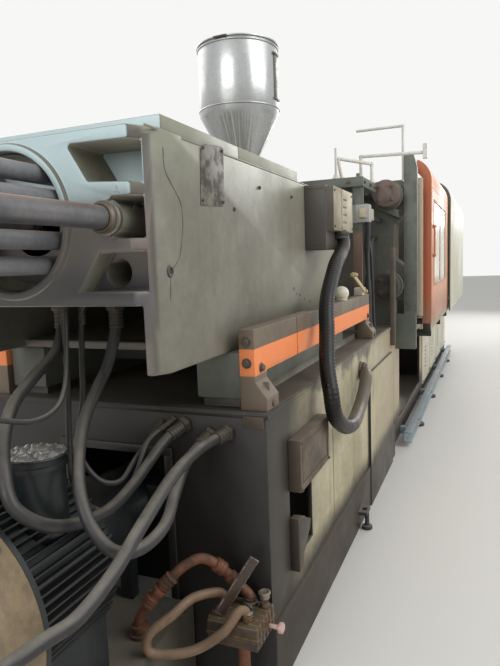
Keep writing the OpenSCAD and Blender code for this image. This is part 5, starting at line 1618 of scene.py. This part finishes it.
class MACHINE_OT_controls(Operator):
    """Control cabinet with its door, and the operator panel"""

    bl_idname = "machine.controls"
    bl_label = "Controls"

    def execute(self, context):
        dressed("control_cabinet", 0.003, "cream_paint")
        dressed("cabinet_door", 0.004, "cream_paint", 3)
        low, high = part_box("cabinet_door")
        x, y = (low.x + 0.3, low.x + 0.68), (high.y - 0.022, high.y - 0.008)
        slats = [slab("louvre", x, y, (z, z + 0.014), 0.004) for z in (0.3 + 0.035 * k for k in range(9))]
        slats += [rod("hinge", (low.x, 0.834, z), (low.x, 0.834, z + 0.07), 0.006, 16, 0.001)
                  for z in (0.3, 1.3)]
        merged("cabinet_louvres", slats, "cabinet_door", "cream_paint")
        lock = lathe("cabinet_lock", [(0, 0), (0.016, 0), (0.017, 0.002), (0.015, 0.006), (0.006, 0.0065),
                                      (0, 0.005)], (high.x - 0.07, high.y - 0.014, 0.95), Y_AXIS, 32)
        keep(lock, "cabinet_door", "bolt_steel")
        dressed("operator_panel", 0.004, "column_paint", 3)
        low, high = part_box("operator_panel")
        self.panel(low.x, high.x, high.y)
        self.buttons(low.x, high.y)
        return {"FINISHED"}

    def panel(self, left, right, face):
        """Screen, keys and corner screws"""
        screen = slab("screen", (left + 0.045, left + 0.295), (face - 0.006, face - 0.003), (1.485, 1.675),
                      0.0015)
        keep(screen, "frame", "screen_glass")
        y = (face - 0.0005, face + 0.004)
        keys = [slab("key", (left + 0.312 + 0.026 * i, left + 0.332 + 0.026 * i), y,
                     (1.5 + 0.03 * k, 1.522 + 0.03 * k), 0.0025, 3) for i in range(3) for k in range(6)]
        merged("panel_keys", keys, "frame", "key_plastic")
        corners = [(x, face - 0.0005, z) for x in (left + 0.018, right - 0.018) for z in (1.318, 1.702)]
        screws("panel_corner_screws", corners, Y_AXIS, 0.006)

    def buttons(self, left, face):
        """Both push buttons in their rings; the emergency stop's is the wider"""
        for node, x, radius in (("emergency_stop", left + 0.08, 0.022), ("start_button", left + 0.18, 0.016)):
            place = (x, face, 1.39)
            cap = lathe(node + "_skin", [
                (0, -0.02), (0.0119, -0.02), (0.0119, 0.0105), (radius * 0.96, 0.0115), (radius, 0.014),
                (radius, 0.02), (radius * 0.85, 0.0235), (0, 0.024)], place, Y_AXIS, 48)
            keep(cap, BODY_OF[node], node + "_plastic")
            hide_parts(node)
            collar = lathe(node + "_ring", [
                (0.0128, 0.0005), (0.0195, 0.0005), (0.02, 0.0015), (0.0185, 0.0032), (0.0128, 0.0032),
                (0.0128, 0.0005)], place, Y_AXIS, 40)
            keep(collar, "frame", "bolt_steel")


class MACHINE_PT_panel(Panel):
    """Sizes, colours and pieces of the machine"""

    bl_idname = "MACHINE_PT_panel"
    bl_label = "Injection moulding machine"
    bl_space_type = "VIEW_3D"
    bl_region_type = "UI"
    bl_category = "Machine"

    def draw(self, context):
        for group in (sizes(), colours()):
            column = self.layout.column()
            for name in group.bl_rna.properties.keys():
                if name not in {"rna_type", "name"}:
                    column.prop(group, name)
        for operator in OPERATORS:
            self.layout.operator(operator.bl_idname)


OPERATORS = (
    MACHINE_OT_stage, MACHINE_OT_conduit, MACHINE_OT_hoses, MACHINE_OT_water_hose, MACHINE_OT_terminal_leads,
    MACHINE_OT_injection_bed, MACHINE_OT_access_covers, MACHINE_OT_beam_guards, MACHINE_OT_housing,
    MACHINE_OT_junction_box, MACHINE_OT_injection_drive, MACHINE_OT_barrel, MACHINE_OT_hopper,
    MACHINE_OT_platform, MACHINE_OT_guards, MACHINE_OT_clamp, MACHINE_OT_pump_set, MACHINE_OT_pipework,
    MACHINE_OT_lubrication, MACHINE_OT_controls)
CLASSES = (MachineColours, MachineSizes, *OPERATORS, MACHINE_PT_panel)


def register():
    for kind in CLASSES:
        bpy.utils.register_class(kind)
    bpy.types.Scene.machine_colours = PointerProperty(type=MachineColours)
    bpy.types.Scene.machine_sizes = PointerProperty(type=MachineSizes)


def unregister():
    del bpy.types.Scene.machine_sizes
    del bpy.types.Scene.machine_colours
    for kind in reversed(CLASSES):
        bpy.utils.unregister_class(kind)


def main():
    register()
    for operator in OPERATORS:
        group, name = operator.bl_idname.split(".")
        getattr(getattr(bpy.ops, group), name)()


if __name__ == "__main__":
    main()
